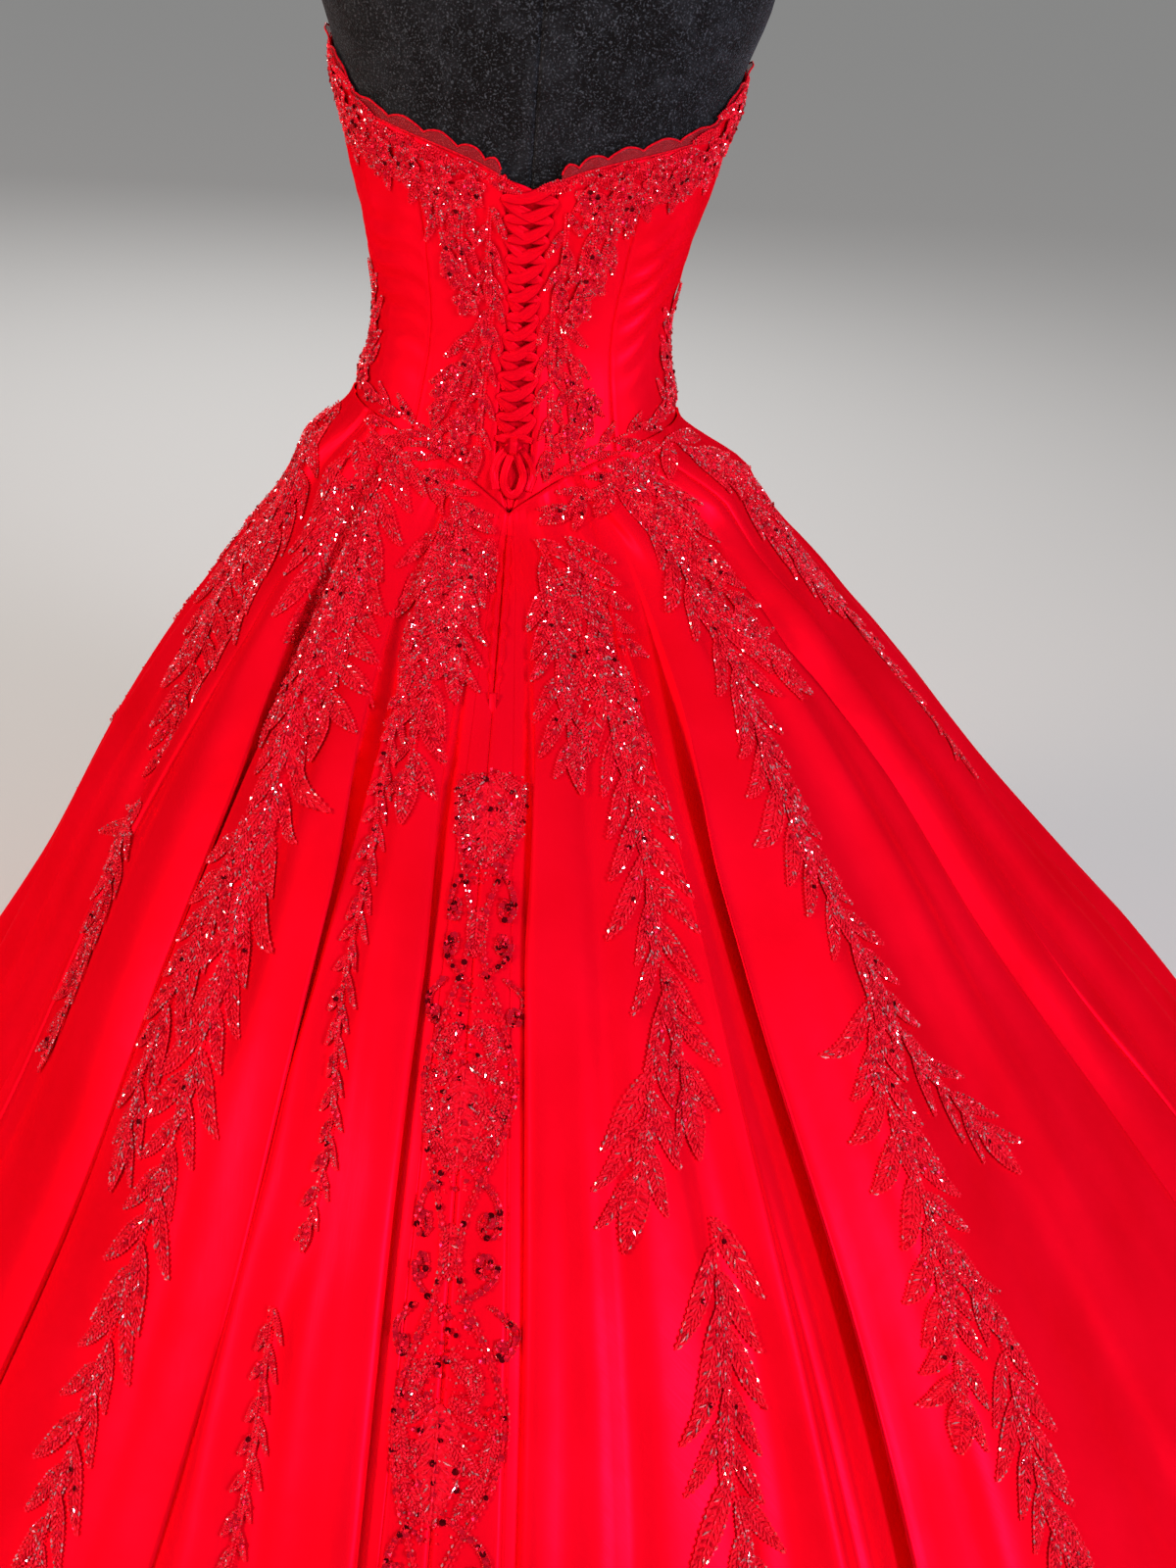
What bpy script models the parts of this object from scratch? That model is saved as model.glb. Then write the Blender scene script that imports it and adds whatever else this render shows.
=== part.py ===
"""Strapless satin ball gown with a lace-up back and beaded leaf sprays, standing on a dress form.

Metres, +Z up. The gown's front faces -Y and its train runs towards +Y. Angles go round the
gown from the centre back, in degrees, positive towards the wearer's left (+X).
"""

import math

import bpy
import numpy as np
from mathutils import Vector
from mathutils.geometry import delaunay_2d_cdt

# ---------------------------------------------------------------- driving dimensions

SEAM_GAP = 0.0003        # between pieces that are sewn together or lie on each other
FORM_GAP = 0.0010        # between the dress form and the cloth over it
MODESTY_THICKNESS = 0.0015
BODICE_THICKNESS = 0.0025
SKIRT_THICKNESS = 0.0020
NET_THICKNESS = 0.0010
APPLIQUE_THICKNESS = 0.0022
RIBBON_WIDTH = 0.0065
RIBBON_THICKNESS = 0.0010

BASQUE_POINT = 0.930     # height of the waist seam at the centre back and centre front
SIDE_WAIST = 0.996       # its height at the sides
BASQUE_SPREAD = 30.0     # degrees over which the seam rises from its point
SEAM_LAP = 0.004         # the skirt's top edge laps over the bodice by this
WAIST_BULK = 0.0056      # the gathered skirt stands this proud of the bodice
WAIST_FOLD_DEPTH = 0.0016
FLARE_DEPTH = 0.050      # drop over which the skirt leaves the body's line

CUP_RISE = 0.012
CUP_ANGLE = 152.0
CUP_HEIGHT = 1.225

EDGE_COLUMN = 5.5        # the body column that follows the edge of the lacing opening
PRINCESS_COLUMN = 37.0   # the body column of the princess seams
LACING_TOP = 1.197
LACING_BOTTOM = 0.990
CROSSINGS = 13
NET_RISE = 0.011
SCALLOP_DIP = 0.006

POLE_RADIUS = 0.016
BASE_RADIUS = 0.190
BASE_THICKNESS = 0.018
BASE_CHAMFER = 0.004
ROUND_SIDES = 32


def columns(names, *rows):
    """A short table as one array for each named column."""
    return {name: np.array(values) for name, values in zip(names, zip(*rows))}


# Dress form: half width, front reach and back reach at each height.
FORM = columns(
    ("height", "side", "front", "back"),
    (1.530, 0.050, 0.053, 0.048),
    (1.460, 0.060, 0.058, 0.060),
    (1.432, 0.118, 0.068, 0.078),
    (1.400, 0.176, 0.082, 0.094),
    (1.340, 0.180, 0.108, 0.106),
    (1.270, 0.161, 0.122, 0.105),
    (1.200, 0.147, 0.112, 0.092),
    (1.130, 0.130, 0.092, 0.077),
    (1.070, 0.120, 0.082, 0.070),
    (1.000, 0.133, 0.095, 0.083),
    (0.970, 0.144, 0.103, 0.092),
    (0.930, 0.158, 0.112, 0.104),
    (0.880, 0.166, 0.117, 0.116),
    (0.800, 0.162, 0.110, 0.112),
)

# Skirt: how far its lobes reach to the left, right, front and back at each height.
SKIRT = columns(
    ("height", "left", "right", "front", "back"),
    (1.000, 0.163, 0.178, 0.125, 0.090),
    (0.930, 0.190, 0.223, 0.165, 0.128),
    (0.850, 0.242, 0.303, 0.240, 0.262),
    (0.750, 0.305, 0.402, 0.320, 0.420),
    (0.650, 0.360, 0.493, 0.390, 0.550),
    (0.500, 0.432, 0.645, 0.480, 0.700),
    (0.350, 0.520, 0.790, 0.570, 0.840),
    (0.200, 0.610, 0.920, 0.660, 0.990),
    (0.080, 0.680, 1.020, 0.715, 1.170),
    (0.000, 0.720, 1.080, 0.735, 1.420),
)

# Top edge of the satin bodice, from the centre back V round to the front dip.
BODICE_EDGE = columns(
    ("angle", "height"),
    (0.0, 1.183),
    (9.4, 1.199),
    (20.0, 1.209),
    (30.0, 1.216),
    (45.0, 1.224),
    (58.0, 1.231),
    (68.0, 1.247),
    (78.0, 1.263),
    (90.0, 1.272),
    (112.0, 1.280),
    (130.0, 1.296),
    (146.0, 1.302),
    (160.0, 1.286),
    (172.0, 1.258),
    (180.0, 1.246),
)

# Half width of the lace-up opening down the back.
OPENING = columns(
    ("height", "half_width"),
    (1.205, 0.0240),
    (1.160, 0.0160),
    (1.120, 0.0120),
    (1.090, 0.0105),
    (1.050, 0.0135),
    (0.985, 0.0140),
    (0.955, 0.0080),
    (0.930, 0.0008),
)

# Skirt folds: angle at the waist, below the hip and at the hem, half width and depth.
FOLDS = (
    ("front_right_inner", "over_left", -163, -164, -162, 0.030, 0.040),
    ("front_right_outer", "valley", -146, -144, -147, 0.026, 0.028),
    ("side_front_right", "over_left", -127, -128, -126, 0.032, 0.044),
    ("side_right_front", "valley", -108, -110, -107, 0.030, 0.032),
    ("side_right", "over_left", -90, -91, -93, 0.032, 0.040),
    ("side_right_back", "valley", -66, -75, -74, 0.028, 0.026),
    ("back_right_outer", "over_left", -38, -61, -63, 0.034, 0.034),
    ("back_right_soft", "valley", -27, -45, -46, 0.026, 0.010),
    ("back_right_deep", "valley", -18, -30, -26, 0.034, 0.056),
    ("back_right_crease", "valley", -11, -20, -17, 0.018, 0.012),
    ("box_right", "box_right", -2.3, -5.6, -4, 0.018, 0.034),
    ("box_left", "box_left", 2.3, 7.8, 6, 0.018, 0.034),
    ("back_left_deep", "over_right", 18, 23, 26, 0.032, 0.038),
    ("back_left_outer", "over_right", 40, 45, 46, 0.032, 0.044),
    ("side_left_back", "valley", 60, 65, 65, 0.028, 0.026),
    ("side_left", "over_right", 82, 86, 86, 0.030, 0.038),
    ("side_left_front", "valley", 104, 106, 104, 0.028, 0.030),
    ("side_front_left", "over_right", 124, 126, 125, 0.032, 0.042),
    ("front_left_outer", "valley", 143, 145, 147, 0.026, 0.028),
    ("front_left_inner", "over_right", 162, 163, 162, 0.030, 0.040),
)

# Fold profiles: place across the fold where it starts, place once it is full, share of its depth.
VALLEY = ((-1.7, -1.7, 0.0), (-0.5, -0.5, 0.8), (0.5, 0.5, 0.8), (1.7, 1.7, 0.0))
OVER_LEFT = (
    (-1.7, -1.7, 0.0),
    (-0.6, -0.45, 0.62),
    (0.2, 0.4, 1.0),
    (0.8, 0.2, 0.35),
    (1.7, 1.1, 0.0),
)
BOX_LEFT = (
    (-1.2, -1.2, 1.0),
    (-0.5, -0.2, 1.0),
    (0.1, 0.5, 1.0),
    (0.7, 0.05, 0.3),
    (1.6, 0.8, 0.0),
)


def mirrored(profile):
    return tuple((-start, -full, depth) for start, full, depth in reversed(profile))


PROFILES = {
    "valley": VALLEY,
    "over_left": OVER_LEFT,
    "over_right": mirrored(OVER_LEFT),
    "box_left": BOX_LEFT,
    "box_right": mirrored(BOX_LEFT),
}
WAIST_WIDTH_SHARE = 0.14     # a fold's width at the waist, as a share of its full width
FOLD_GROWTH = 0.22           # share of the length over which a fold grows
FOLD_SPREAD = 0.09           # share of the length over which it swings to its own angle
LOBE_RISE = 0.006
WIDE_LOBE, NARROW_LOBE = 28.0, 16.0
SKIRT_ROWS = np.array([0, 0.035, 0.09, 0.165, 0.26, 0.38, 0.52, 0.68, 0.85, 1.0])

# Skirt panels: each runs from one seam to the next; a seam lies on the lobe after a named fold.
SKIRT_PANELS = (
    ("skirt_front", "front_left_outer", "front_right_inner"),
    ("skirt_side_front_right", "front_right_inner", "side_right_front"),
    ("skirt_side_back_right", "side_right_front", "side_right_back"),
    ("skirt_back_right", "side_right_back", "box_right"),
    ("skirt_centre_back_right", "box_right", "centre"),
    ("skirt_centre_back_left", "centre", "box_left"),
    ("skirt_back_left", "box_left", "back_left_outer"),
    ("skirt_side_back_left", "back_left_outer", "side_left"),
    ("skirt_side_front_left", "side_left", "front_left_outer"),
)

BODY_COLUMNS = (
    0, EDGE_COLUMN, 8, 13, 20, 28, PRINCESS_COLUMN, 46, 56, 68, 79, 90, 101, 112, 123, 134, 146, 157, 168, 180,
)
BODICE_ROWS = 8
BODICE_PANELS = (
    ("bodice_back", EDGE_COLUMN, PRINCESS_COLUMN),
    ("bodice_side_back", PRINCESS_COLUMN, 90),
    ("bodice_side_front", 90, 146),
)

# Leaf sprays on the skirt: leaf length, spacing along the stem, then the stem's (angle, height).
SPRAYS = {
    "spray_back_right_inner": (
        0.104, 0.078,
        ((-9, 0.915), (-12, 0.86), (-12.5, 0.79), (-13, 0.72), (-13, 0.64), (-12, 0.56), (-12, 0.48)),
    ),
    "spray_back_right_middle": (
        0.108, 0.080,
        ((-24, 0.935), (-35, 0.90), (-38, 0.84), (-38, 0.77), (-37.5, 0.69), (-38, 0.61), (-37, 0.53),
         (-35.5, 0.45), (-35, 0.36)),
    ),
    "spray_hip_right": (0.100, 0.078, ((-80, 0.965), (-82, 0.91), (-82, 0.85), (-82, 0.78), (-82, 0.71))),
    "spray_back_left_inner": (
        0.088, 0.066,
        ((6, 0.925), (11, 0.885), (13, 0.84), (13.5, 0.79), (13, 0.73)),
    ),
    "spray_back_left_wide": (
        0.120, 0.082,
        ((31, 0.935), (35, 0.89), (36.5, 0.83), (36, 0.76), (35.5, 0.68), (35.5, 0.60), (36, 0.52),
         (36, 0.44), (36, 0.35)),
    ),
    "spray_back_left_side": (
        0.104, 0.080,
        ((72, 0.965), (74, 0.90), (75, 0.83), (75.5, 0.75), (75, 0.67)),
    ),
    "spray_side_left": (
        0.110, 0.084,
        ((95, 0.965), (98, 0.90), (99, 0.82), (99, 0.73), (98, 0.63), (97, 0.53)),
    ),
    "spray_front_left": (
        0.110, 0.086,
        ((150, 0.955), (153, 0.90), (154, 0.82), (154, 0.73), (154, 0.63), (154, 0.53)),
    ),
    "spray_front_right": (
        0.110, 0.086,
        ((-151, 0.955), (-154, 0.90), (-154, 0.82), (-154, 0.73), (-154, 0.63), (-154, 0.53)),
    ),
}
LEAF_WIDTH_SHARE = 0.34      # widest part of a leaf against its length
LEAF_ANGLE = 38.0            # a leaf leaves the stem's line by this, pointing down
STEM_HALF_WIDTH = 0.007

INSET_TOP = 0.800            # the beaded inset starts here
INSET_BOTTOM = 0.060

# Bodice applique: the lower edge of the neckline band and the outline beside the lacing.
NECK_BAND = (
    (20, 1.168), (24, 1.128), (29, 1.152), (34, 1.140), (41, 1.180), (50, 1.172), (58, 1.196),
    (68, 1.184), (80, 1.212), (94, 1.204), (110, 1.236), (126, 1.222), (140, 1.248), (154, 1.230),
    (171, 1.226),
)
LACING_MOTIF = (
    (14.5, 1.185), (26, 1.176), (23, 1.140), (26, 1.100), (17, 1.084), (23, 1.056), (29, 1.030),
    (27, 1.012), (30, 0.996), (17, 0.968), (12, 0.985), (11, 1.050), (10.5, 1.090), (11.5, 1.130),
)
SIDE_MOTIF = (
    (62, 1.010), (67, 1.040), (72, 1.028), (80, 1.100), (86, 1.060), (92, 1.086), (98, 1.046),
    (104, 1.040), (110, 1.010),
)

SATIN_RED = (0.78, 0.006, 0.012, 1.0)
BEADED_RED = (0.40, 0.006, 0.014, 1.0)
NET_RED = (0.55, 0.010, 0.015, 1.0)
VELVET_BLACK = (0.012, 0.012, 0.013, 1.0)
STEEL_GREY = (0.42, 0.42, 0.43, 1.0)


# ---------------------------------------------------------------- curves and surfaces


def smooth_curve(at, knots, values):
    """A curve through the table's values that never overshoots them."""
    order = np.argsort(knots)
    x, y = np.asarray(knots, float)[order], np.asarray(values, float)[order]
    step = np.diff(x)
    slope = np.diff(y) / step
    tangent = np.concatenate([slope[:1], np.zeros(len(slope) - 1), slope[-1:]])
    same_way = slope[:-1] * slope[1:] > 0
    total = np.where(same_way, slope[:-1] + slope[1:], 1.0)
    tangent[1:-1] = np.where(same_way, 2 * slope[:-1] * slope[1:] / total, 0.0)
    at = np.clip(at, x[0], x[-1])
    i = np.clip(np.searchsorted(x, at) - 1, 0, len(step) - 1)
    t = (at - x[i]) / step[i]
    return (
        y[i] * (2 * t**3 - 3 * t**2 + 1)
        + tangent[i] * step[i] * (t**3 - 2 * t**2 + t)
        + y[i + 1] * (3 * t**2 - 2 * t**3)
        + tangent[i + 1] * step[i] * (t**3 - t**2)
    )


def smoothstep(t):
    t = np.clip(t, 0.0, 1.0)
    return t * t * (3 - 2 * t)


def section_point(side, front, back, angle, height, out):
    """A point of an oval section, moved out along its normal."""
    turn = np.radians(angle)
    sine, cosine = np.sin(turn), np.cos(turn)
    depth = np.where(cosine > 0, back, front)
    normal = np.stack([sine / side, cosine / depth], -1)
    normal /= np.linalg.norm(normal, axis=-1, keepdims=True)
    flat = np.stack([side * sine, depth * cosine], -1) + normal * np.asarray(out)[..., None]
    return np.concatenate([flat, (height + 0 * side)[..., None]], -1)


def waist_seam(angle):
    """Height of the basque seam: a point at the back and the front, high at the sides."""
    from_point = np.minimum(np.abs(angle), 180 - np.abs(angle))
    return BASQUE_POINT + (SIDE_WAIST - BASQUE_POINT) * (1 - np.exp(-from_point / BASQUE_SPREAD))


def bodice_edge(angle):
    return smooth_curve(np.abs(angle), BODICE_EDGE["angle"], BODICE_EDGE["height"])


def body_point(angle, height, out):
    """The dress form's surface, moved out."""
    angle, height, out = np.broadcast_arrays(np.asarray(angle, float), height, out)
    side, front, back = (smooth_curve(height, FORM["height"], FORM[k]) for k in ("side", "front", "back"))
    cup = np.exp(-(((np.abs(angle) - CUP_ANGLE) / 17) ** 2) - ((height - CUP_HEIGHT) / 0.045) ** 2)
    return section_point(side, front, back, angle, height, out + CUP_RISE * cup)


def body_angle(column, height):
    """The body's columns bend so that one of them follows the lacing opening's edge."""
    side = smooth_curve(height, FORM["height"], FORM["side"])
    half = smooth_curve(height, OPENING["height"], OPENING["half_width"])
    edge = np.degrees(np.arcsin(half / side))
    size = np.abs(column)
    within = size * edge / EDGE_COLUMN
    beyond = edge + (size - EDGE_COLUMN) * (PRINCESS_COLUMN - edge) / (PRINCESS_COLUMN - EDGE_COLUMN)
    bent = np.where(size <= EDGE_COLUMN, within, np.where(size <= PRINCESS_COLUMN, beyond, size))
    return np.sign(column) * bent


def bodice_outset(angle):
    """How far the bodice's outside stands off the form: more where it laps the modesty panel."""
    lap = smoothstep((14 - np.abs(angle)) / 6)
    return FORM_GAP + BODICE_THICKNESS + lap * (MODESTY_THICKNESS + 0.0005)


def skirt_reach(height):
    return {k: smooth_curve(height, SKIRT["height"], SKIRT[k]) for k in ("left", "right", "front", "back")}


def skirt_point(angle, height, out):
    """The skirt's lobes: the body's line at the waist seam, then the flare."""
    angle, height, out = np.broadcast_arrays(np.asarray(angle, float), height, out)
    turned = (angle + 180) % 360 - 180
    reach = skirt_reach(height)
    side = np.where(turned > 0, reach["left"], reach["right"])
    flared = section_point(side, reach["front"], reach["back"], angle, height, out)
    close = body_point(turned, height, out + bodice_outset(turned) + WAIST_BULK)
    share = smoothstep((waist_seam(turned) - height) / FLARE_DEPTH)[..., None]
    return close * (1 - share) + flared * share


# ---------------------------------------------------------------- the skirt's grid


def fold_columns(row_share):
    """Every column across the skirt at one row: its even place, its place in the folds and its offset."""
    growth = (1 - math.exp(-row_share / FOLD_GROWTH)) / (1 - math.exp(-1 / FOLD_GROWTH))
    swing = 1 - math.exp(-row_share / FOLD_SPREAD)
    drift = float(smoothstep((row_share - 0.3) / 0.7))
    places = []
    for name, kind, waist, middle, hem, half_width, depth in FOLDS:
        centre = waist + (middle - waist) * swing + (hem - middle) * drift
        height = (waist_seam(centre) + SEAM_LAP) * (1 - row_share)
        ends = skirt_point(np.array([centre - 0.5, centre + 0.5]), height, 0.0)
        per_degree = np.linalg.norm(ends[1] - ends[0])
        width = half_width * (WAIST_WIDTH_SHARE + (1 - WAIST_WIDTH_SHARE) * growth) / per_degree
        sunk = WAIST_FOLD_DEPTH + (depth - WAIST_FOLD_DEPTH) * growth
        lean = growth**2
        places.append([
            (centre + start * width, centre + (start + (full - start) * lean) * width, -sunk * share)
            for start, full, share in PROFILES[kind]
        ])
    even, placed, offset, label = [], [], [], []
    for k, fold in enumerate(places):
        name = FOLDS[k][0]
        after = places[(k + 1) % len(places)][0]
        around = 360 if k == len(places) - 1 else 0
        for i, place in enumerate(fold):
            even.append(place[0])
            placed.append(place[1])
            offset.append(place[2])
            at_seam = (name == "box_left" and i == 0) or (name == "box_right" and i == len(fold) - 1)
            label.append(name if at_seam else "")
        last = fold[-1]
        middle_gap = FOLDS[(k + 1) % len(FOLDS)][3] + around - FOLDS[k][3]
        count = 3 if middle_gap > WIDE_LOBE else 2 if middle_gap > NARROW_LOBE else 1
        seam, rise = name, LOBE_RISE * growth
        if name == "box_right":
            count, seam, rise = 1, "centre", 0.0
        for i in range(count):
            share = (i + 1) / (count + 1)
            even.append(last[0] + (after[0] + around - last[0]) * share)
            placed.append(last[1] + (after[1] + around - last[1]) * share)
            offset.append(last[2] + (after[2] - last[2]) * share + rise * math.sin(math.pi * share))
            label.append(seam if i == count // 2 and name != "box_left" else "")
    return np.array(even), np.array(placed), np.array(offset), label


def row_normals(grid, closed):
    """Outward unit normals of a grid of points, level along its top and bottom rows."""
    step = np.roll(grid, -1, axis=1) - grid
    step /= np.linalg.norm(step, axis=-1, keepdims=True)
    ahead = step + np.roll(step, 1, axis=1)
    if not closed:
        ahead[:, 0] = step[:, 0]
        ahead[:, -1] = step[:, -2]
    down = np.gradient(grid, axis=0)
    normal = np.cross(ahead, down)
    normal /= np.linalg.norm(normal, axis=-1, keepdims=True)
    flat = normal * np.array([1, 1, 0])
    size = np.linalg.norm(flat, axis=-1, keepdims=True)
    level = flat / size / np.clip(size, 0.4, 1.0)
    normal[0] = level[0]
    normal[-1] = level[-1]
    return normal


def skirt_grid():
    """Outer points, inner points, even angles and seam labels of the whole skirt."""
    rows, evens = [], []
    labels = None
    for share in SKIRT_ROWS:
        even, placed, offset, labels = fold_columns(float(share))
        top = waist_seam((placed + 180) % 360 - 180) + SEAM_LAP
        rows.append(skirt_point(placed, top * (1 - share), offset))
        evens.append(even)
    outer = np.array(rows)
    normal = row_normals(outer, closed=True)
    if np.sum(normal[0, 0] * outer[0, 0]) < 0:
        normal = -normal
    inner = outer - SKIRT_THICKNESS * normal
    return outer, inner, normal, np.array(evens), labels


# ---------------------------------------------------------------- solids


def material(name, colour, roughness, metallic=0.0):
    made = bpy.data.materials.get(name)
    if made is None:
        made = bpy.data.materials.new(name)
        made.use_nodes = True
        shader = made.node_tree.nodes["Principled BSDF"]
        shader.inputs["Base Color"].default_value = colour
        shader.inputs["Roughness"].default_value = roughness
        shader.inputs["Metallic"].default_value = metallic
    return made


def satin():
    return material("satin", SATIN_RED, 0.34)


def beaded_lace():
    return material("beaded_lace", BEADED_RED, 0.28)


def net():
    return material("net", NET_RED, 0.6)


def velvet():
    return material("velvet", VELVET_BLACK, 0.95)


def steel():
    return material("steel", STEEL_GREY, 0.35, 1.0)


def solid(name, points, faces, finish):
    """One closed body with its faces pointing out."""
    points = np.asarray(points, float)
    triangles = [(f[0], f[i], f[i + 1]) for f in faces for i in range(1, len(f) - 1)]
    corners = points[np.array(triangles)]
    volume = np.einsum("ij,ij->", corners[:, 0], np.cross(corners[:, 1], corners[:, 2]))
    if volume < 0:
        triangles = [t[::-1] for t in triangles]
    mesh = bpy.data.meshes.new(name)
    mesh.from_pydata([tuple(p) for p in points], [], triangles)
    mesh.validate()
    mesh.materials.append(finish)
    piece = bpy.data.objects.new(name, mesh)
    bpy.context.scene.collection.objects.link(piece)
    return piece


def wall(name, outer, inner, finish):
    """A sheet of cloth with a real thickness between two grids of points."""
    rows, cols = outer.shape[:2]
    count = rows * cols
    index = np.arange(count).reshape(rows, cols)
    faces = []
    for r in range(rows - 1):
        for c in range(cols - 1):
            a, b, d, e = index[r, c], index[r, c + 1], index[r + 1, c + 1], index[r + 1, c]
            faces += [(a, b, d), (a, d, e)]
            faces += [(a + count, d + count, b + count), (a + count, e + count, d + count)]
    rim = list(index[0, :]) + list(index[1:, -1]) + list(index[-1, -2::-1]) + list(index[-2:0:-1, 0])
    for a, b in zip(rim, rim[1:] + rim[:1]):
        if a < b:
            faces += [(b, a, b + count), (a, a + count, b + count)]
        else:
            faces += [(b, a, a + count), (b, a + count, b + count)]
    return solid(name, np.concatenate([outer.reshape(-1, 3), inner.reshape(-1, 3)]), faces, finish)


def closed_rings(name, rings, finish):
    """A solid through rings of points, closed by a flat fan at each end."""
    count, around = rings.shape[:2]
    points = list(rings.reshape(-1, 3)) + [rings[0].mean(axis=0), rings[-1].mean(axis=0)]
    faces = []
    for r in range(count - 1):
        for c in range(around):
            a, b = r * around + c, r * around + (c + 1) % around
            faces += [(a, b, b + around), (a, b + around, a + around)]
    for c in range(around):
        after = (c + 1) % around
        faces.append((after, c, count * around))
        faces.append(((count - 1) * around + c, (count - 1) * around + after, count * around + 1))
    return solid(name, points, faces, finish)


def trimmed(outer, inner, first=True, last=True):
    """The two grids with half a seam gap taken off their side edges."""
    made = []
    for grid in (outer, inner):
        grid = grid.copy()
        ends = ([(0, 1)] if first else []) + ([(-1, -2)] if last else [])
        for edge, beside in ends:
            run = grid[:, beside] - grid[:, edge]
            length = np.linalg.norm(run, axis=-1, keepdims=True)
            grid[:, edge] += run * (SEAM_GAP / 2 / length)
        made.append(grid)
    return made


def ribbon(name, path, across, normal, thickness, finish):
    """A flat band along a path: across is half its width, normal the way it faces."""
    path, across, normal = np.asarray(path), np.asarray(across), np.asarray(normal)
    low = np.stack([path - across, path + across], 1)
    return wall(name, low + normal[:, None] * thickness, low, finish)


def grid_place(grid, col, row):
    """A point of the grid's own triangles at a place between its points."""
    c = min(int(col), grid.shape[1] - 2)
    r = min(int(row), grid.shape[0] - 2)
    u, v = col - c, row - r
    if u >= v:
        return grid[r, c] * (1 - u) + grid[r, c + 1] * (u - v) + grid[r + 1, c + 1] * v
    return grid[r, c] * (1 - v) + grid[r + 1, c] * (v - u) + grid[r + 1, c + 1] * u


def inside(outline, x, y):
    hit = False
    for (x0, y0), (x1, y1) in zip(outline, outline[1:] + outline[:1]):
        if (y0 > y) != (y1 > y) and x < x0 + (y - y0) * (x1 - x0) / (y1 - y0):
            hit = not hit
    return hit


def applique(name, grid, normal, outlines, finish, lift=SEAM_GAP, thickness=APPLIQUE_THICKNESS):
    """Flat motifs on a panel: its own triangles, cut to the outlines and moved out."""
    flat = np.array([p for outline in outlines for p in outline])
    low = np.floor(flat.min(axis=0)).astype(int)
    high = np.minimum(np.ceil(flat.max(axis=0)).astype(int), [grid.shape[1] - 1, grid.shape[0] - 1])
    across, along = high - low + 1
    points = [Vector((low[0] + i, low[1] + j)) for j in range(along) for i in range(across)]
    edges = []
    for j in range(along):
        for i in range(across):
            here = j * across + i
            if i < across - 1:
                edges.append((here, here + 1))
            if j < along - 1:
                edges.append((here, here + across))
            if i < across - 1 and j < along - 1:
                edges.append((here, here + across + 1))
    for outline in outlines:
        first = len(points)
        points += [Vector(p) for p in outline]
        edges += [(first + i, first + (i + 1) % len(outline)) for i in range(len(outline))]
    cut, _, triangles, *_ = delaunay_2d_cdt(points, edges, [], 0, 2e-3)
    kept = []
    for face in triangles:
        x = sum(cut[i].x for i in face) / len(face)
        y = sum(cut[i].y for i in face) / len(face)
        if any(inside(outline, x, y) for outline in outlines):
            kept.append(tuple(face))
    kept = largest_patch(kept)
    used = sorted({i for face in kept for i in face})
    number = {old: new for new, old in enumerate(used)}
    under = np.array([grid_place(grid, cut[i].x, cut[i].y) for i in used])
    away = np.array([grid_place(normal, cut[i].x, cut[i].y) for i in used])
    away /= np.linalg.norm(away, axis=-1, keepdims=True)
    kept = [tuple(number[i] for i in face) for face in kept]
    count = len(used)
    faces = [f for f in kept] + [tuple(i + count for i in reversed(f)) for f in kept]
    sides = {}
    for face in kept:
        for a, b in zip(face, face[1:] + face[:1]):
            sides[(a, b)] = sides.get((a, b), 0) + 1
    for a, b in sides:
        if (b, a) not in sides:
            faces += [(b, a, a + count), (b, a + count, b + count)]
    points = np.concatenate([under + away * (lift + thickness), under + away * lift])
    return solid(name, points, faces, finish)


def largest_patch(faces):
    """The faces that hang together by their edges, without corners that touch at one point."""
    by_edge = {}
    for k, face in enumerate(faces):
        for a, b in zip(face, face[1:] + face[:1]):
            by_edge.setdefault(frozenset((a, b)), []).append(k)
    group = [-1] * len(faces)
    sizes = []
    for start in range(len(faces)):
        if group[start] >= 0:
            continue
        group[start] = len(sizes)
        waiting, size = [start], 0
        while waiting:
            k = waiting.pop()
            size += 1
            face = faces[k]
            for a, b in zip(face, face[1:] + face[:1]):
                for other in by_edge[frozenset((a, b))]:
                    if group[other] < 0:
                        group[other] = len(sizes)
                        waiting.append(other)
        sizes.append(size)
    best = sizes.index(max(sizes))
    kept = [face for k, face in enumerate(faces) if group[k] == best]
    rim = {}
    for face in kept:
        for a, b in zip(face, face[1:] + face[:1]):
            if len([k for k in by_edge[frozenset((a, b))] if group[k] == best]) == 1:
                rim[a] = rim.get(a, 0) + 1
                rim[b] = rim.get(b, 0) + 1
    pinched = {corner for corner, count in rim.items() if count > 2}
    if not pinched:
        return kept
    fewest = {}
    for corner in pinched:
        fans = corner_fans(kept, corner)
        for face in min(fans, key=len):
            fewest[face] = True
    return largest_patch([face for face in kept if face not in fewest])


def corner_fans(faces, corner):
    """The faces round a corner, in groups that share an edge there."""
    around = [face for face in faces if corner in face]
    fans = []
    while around:
        fan = [around.pop()]
        grown = True
        while grown:
            grown = False
            for face in list(around):
                if any(len(set(face) & set(member)) == 2 for member in fan):
                    fan.append(face)
                    around.remove(face)
                    grown = True
        fans.append(fan)
    return fans


# ---------------------------------------------------------------- the dress form


def body_columns():
    right = [-c for c in BODY_COLUMNS[-2:0:-1]]
    return np.array(right + list(BODY_COLUMNS), float)


def bodice_heights(column):
    """The heights of the bodice's rows in each column, from its top edge to the waist seam."""
    top = bodice_edge(body_angle(column, bodice_edge(column)))
    bottom = waist_seam(body_angle(column, waist_seam(column)))
    share = np.linspace(0, 1, BODICE_ROWS)[:, None]
    return top + (bottom - top) * share


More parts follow.
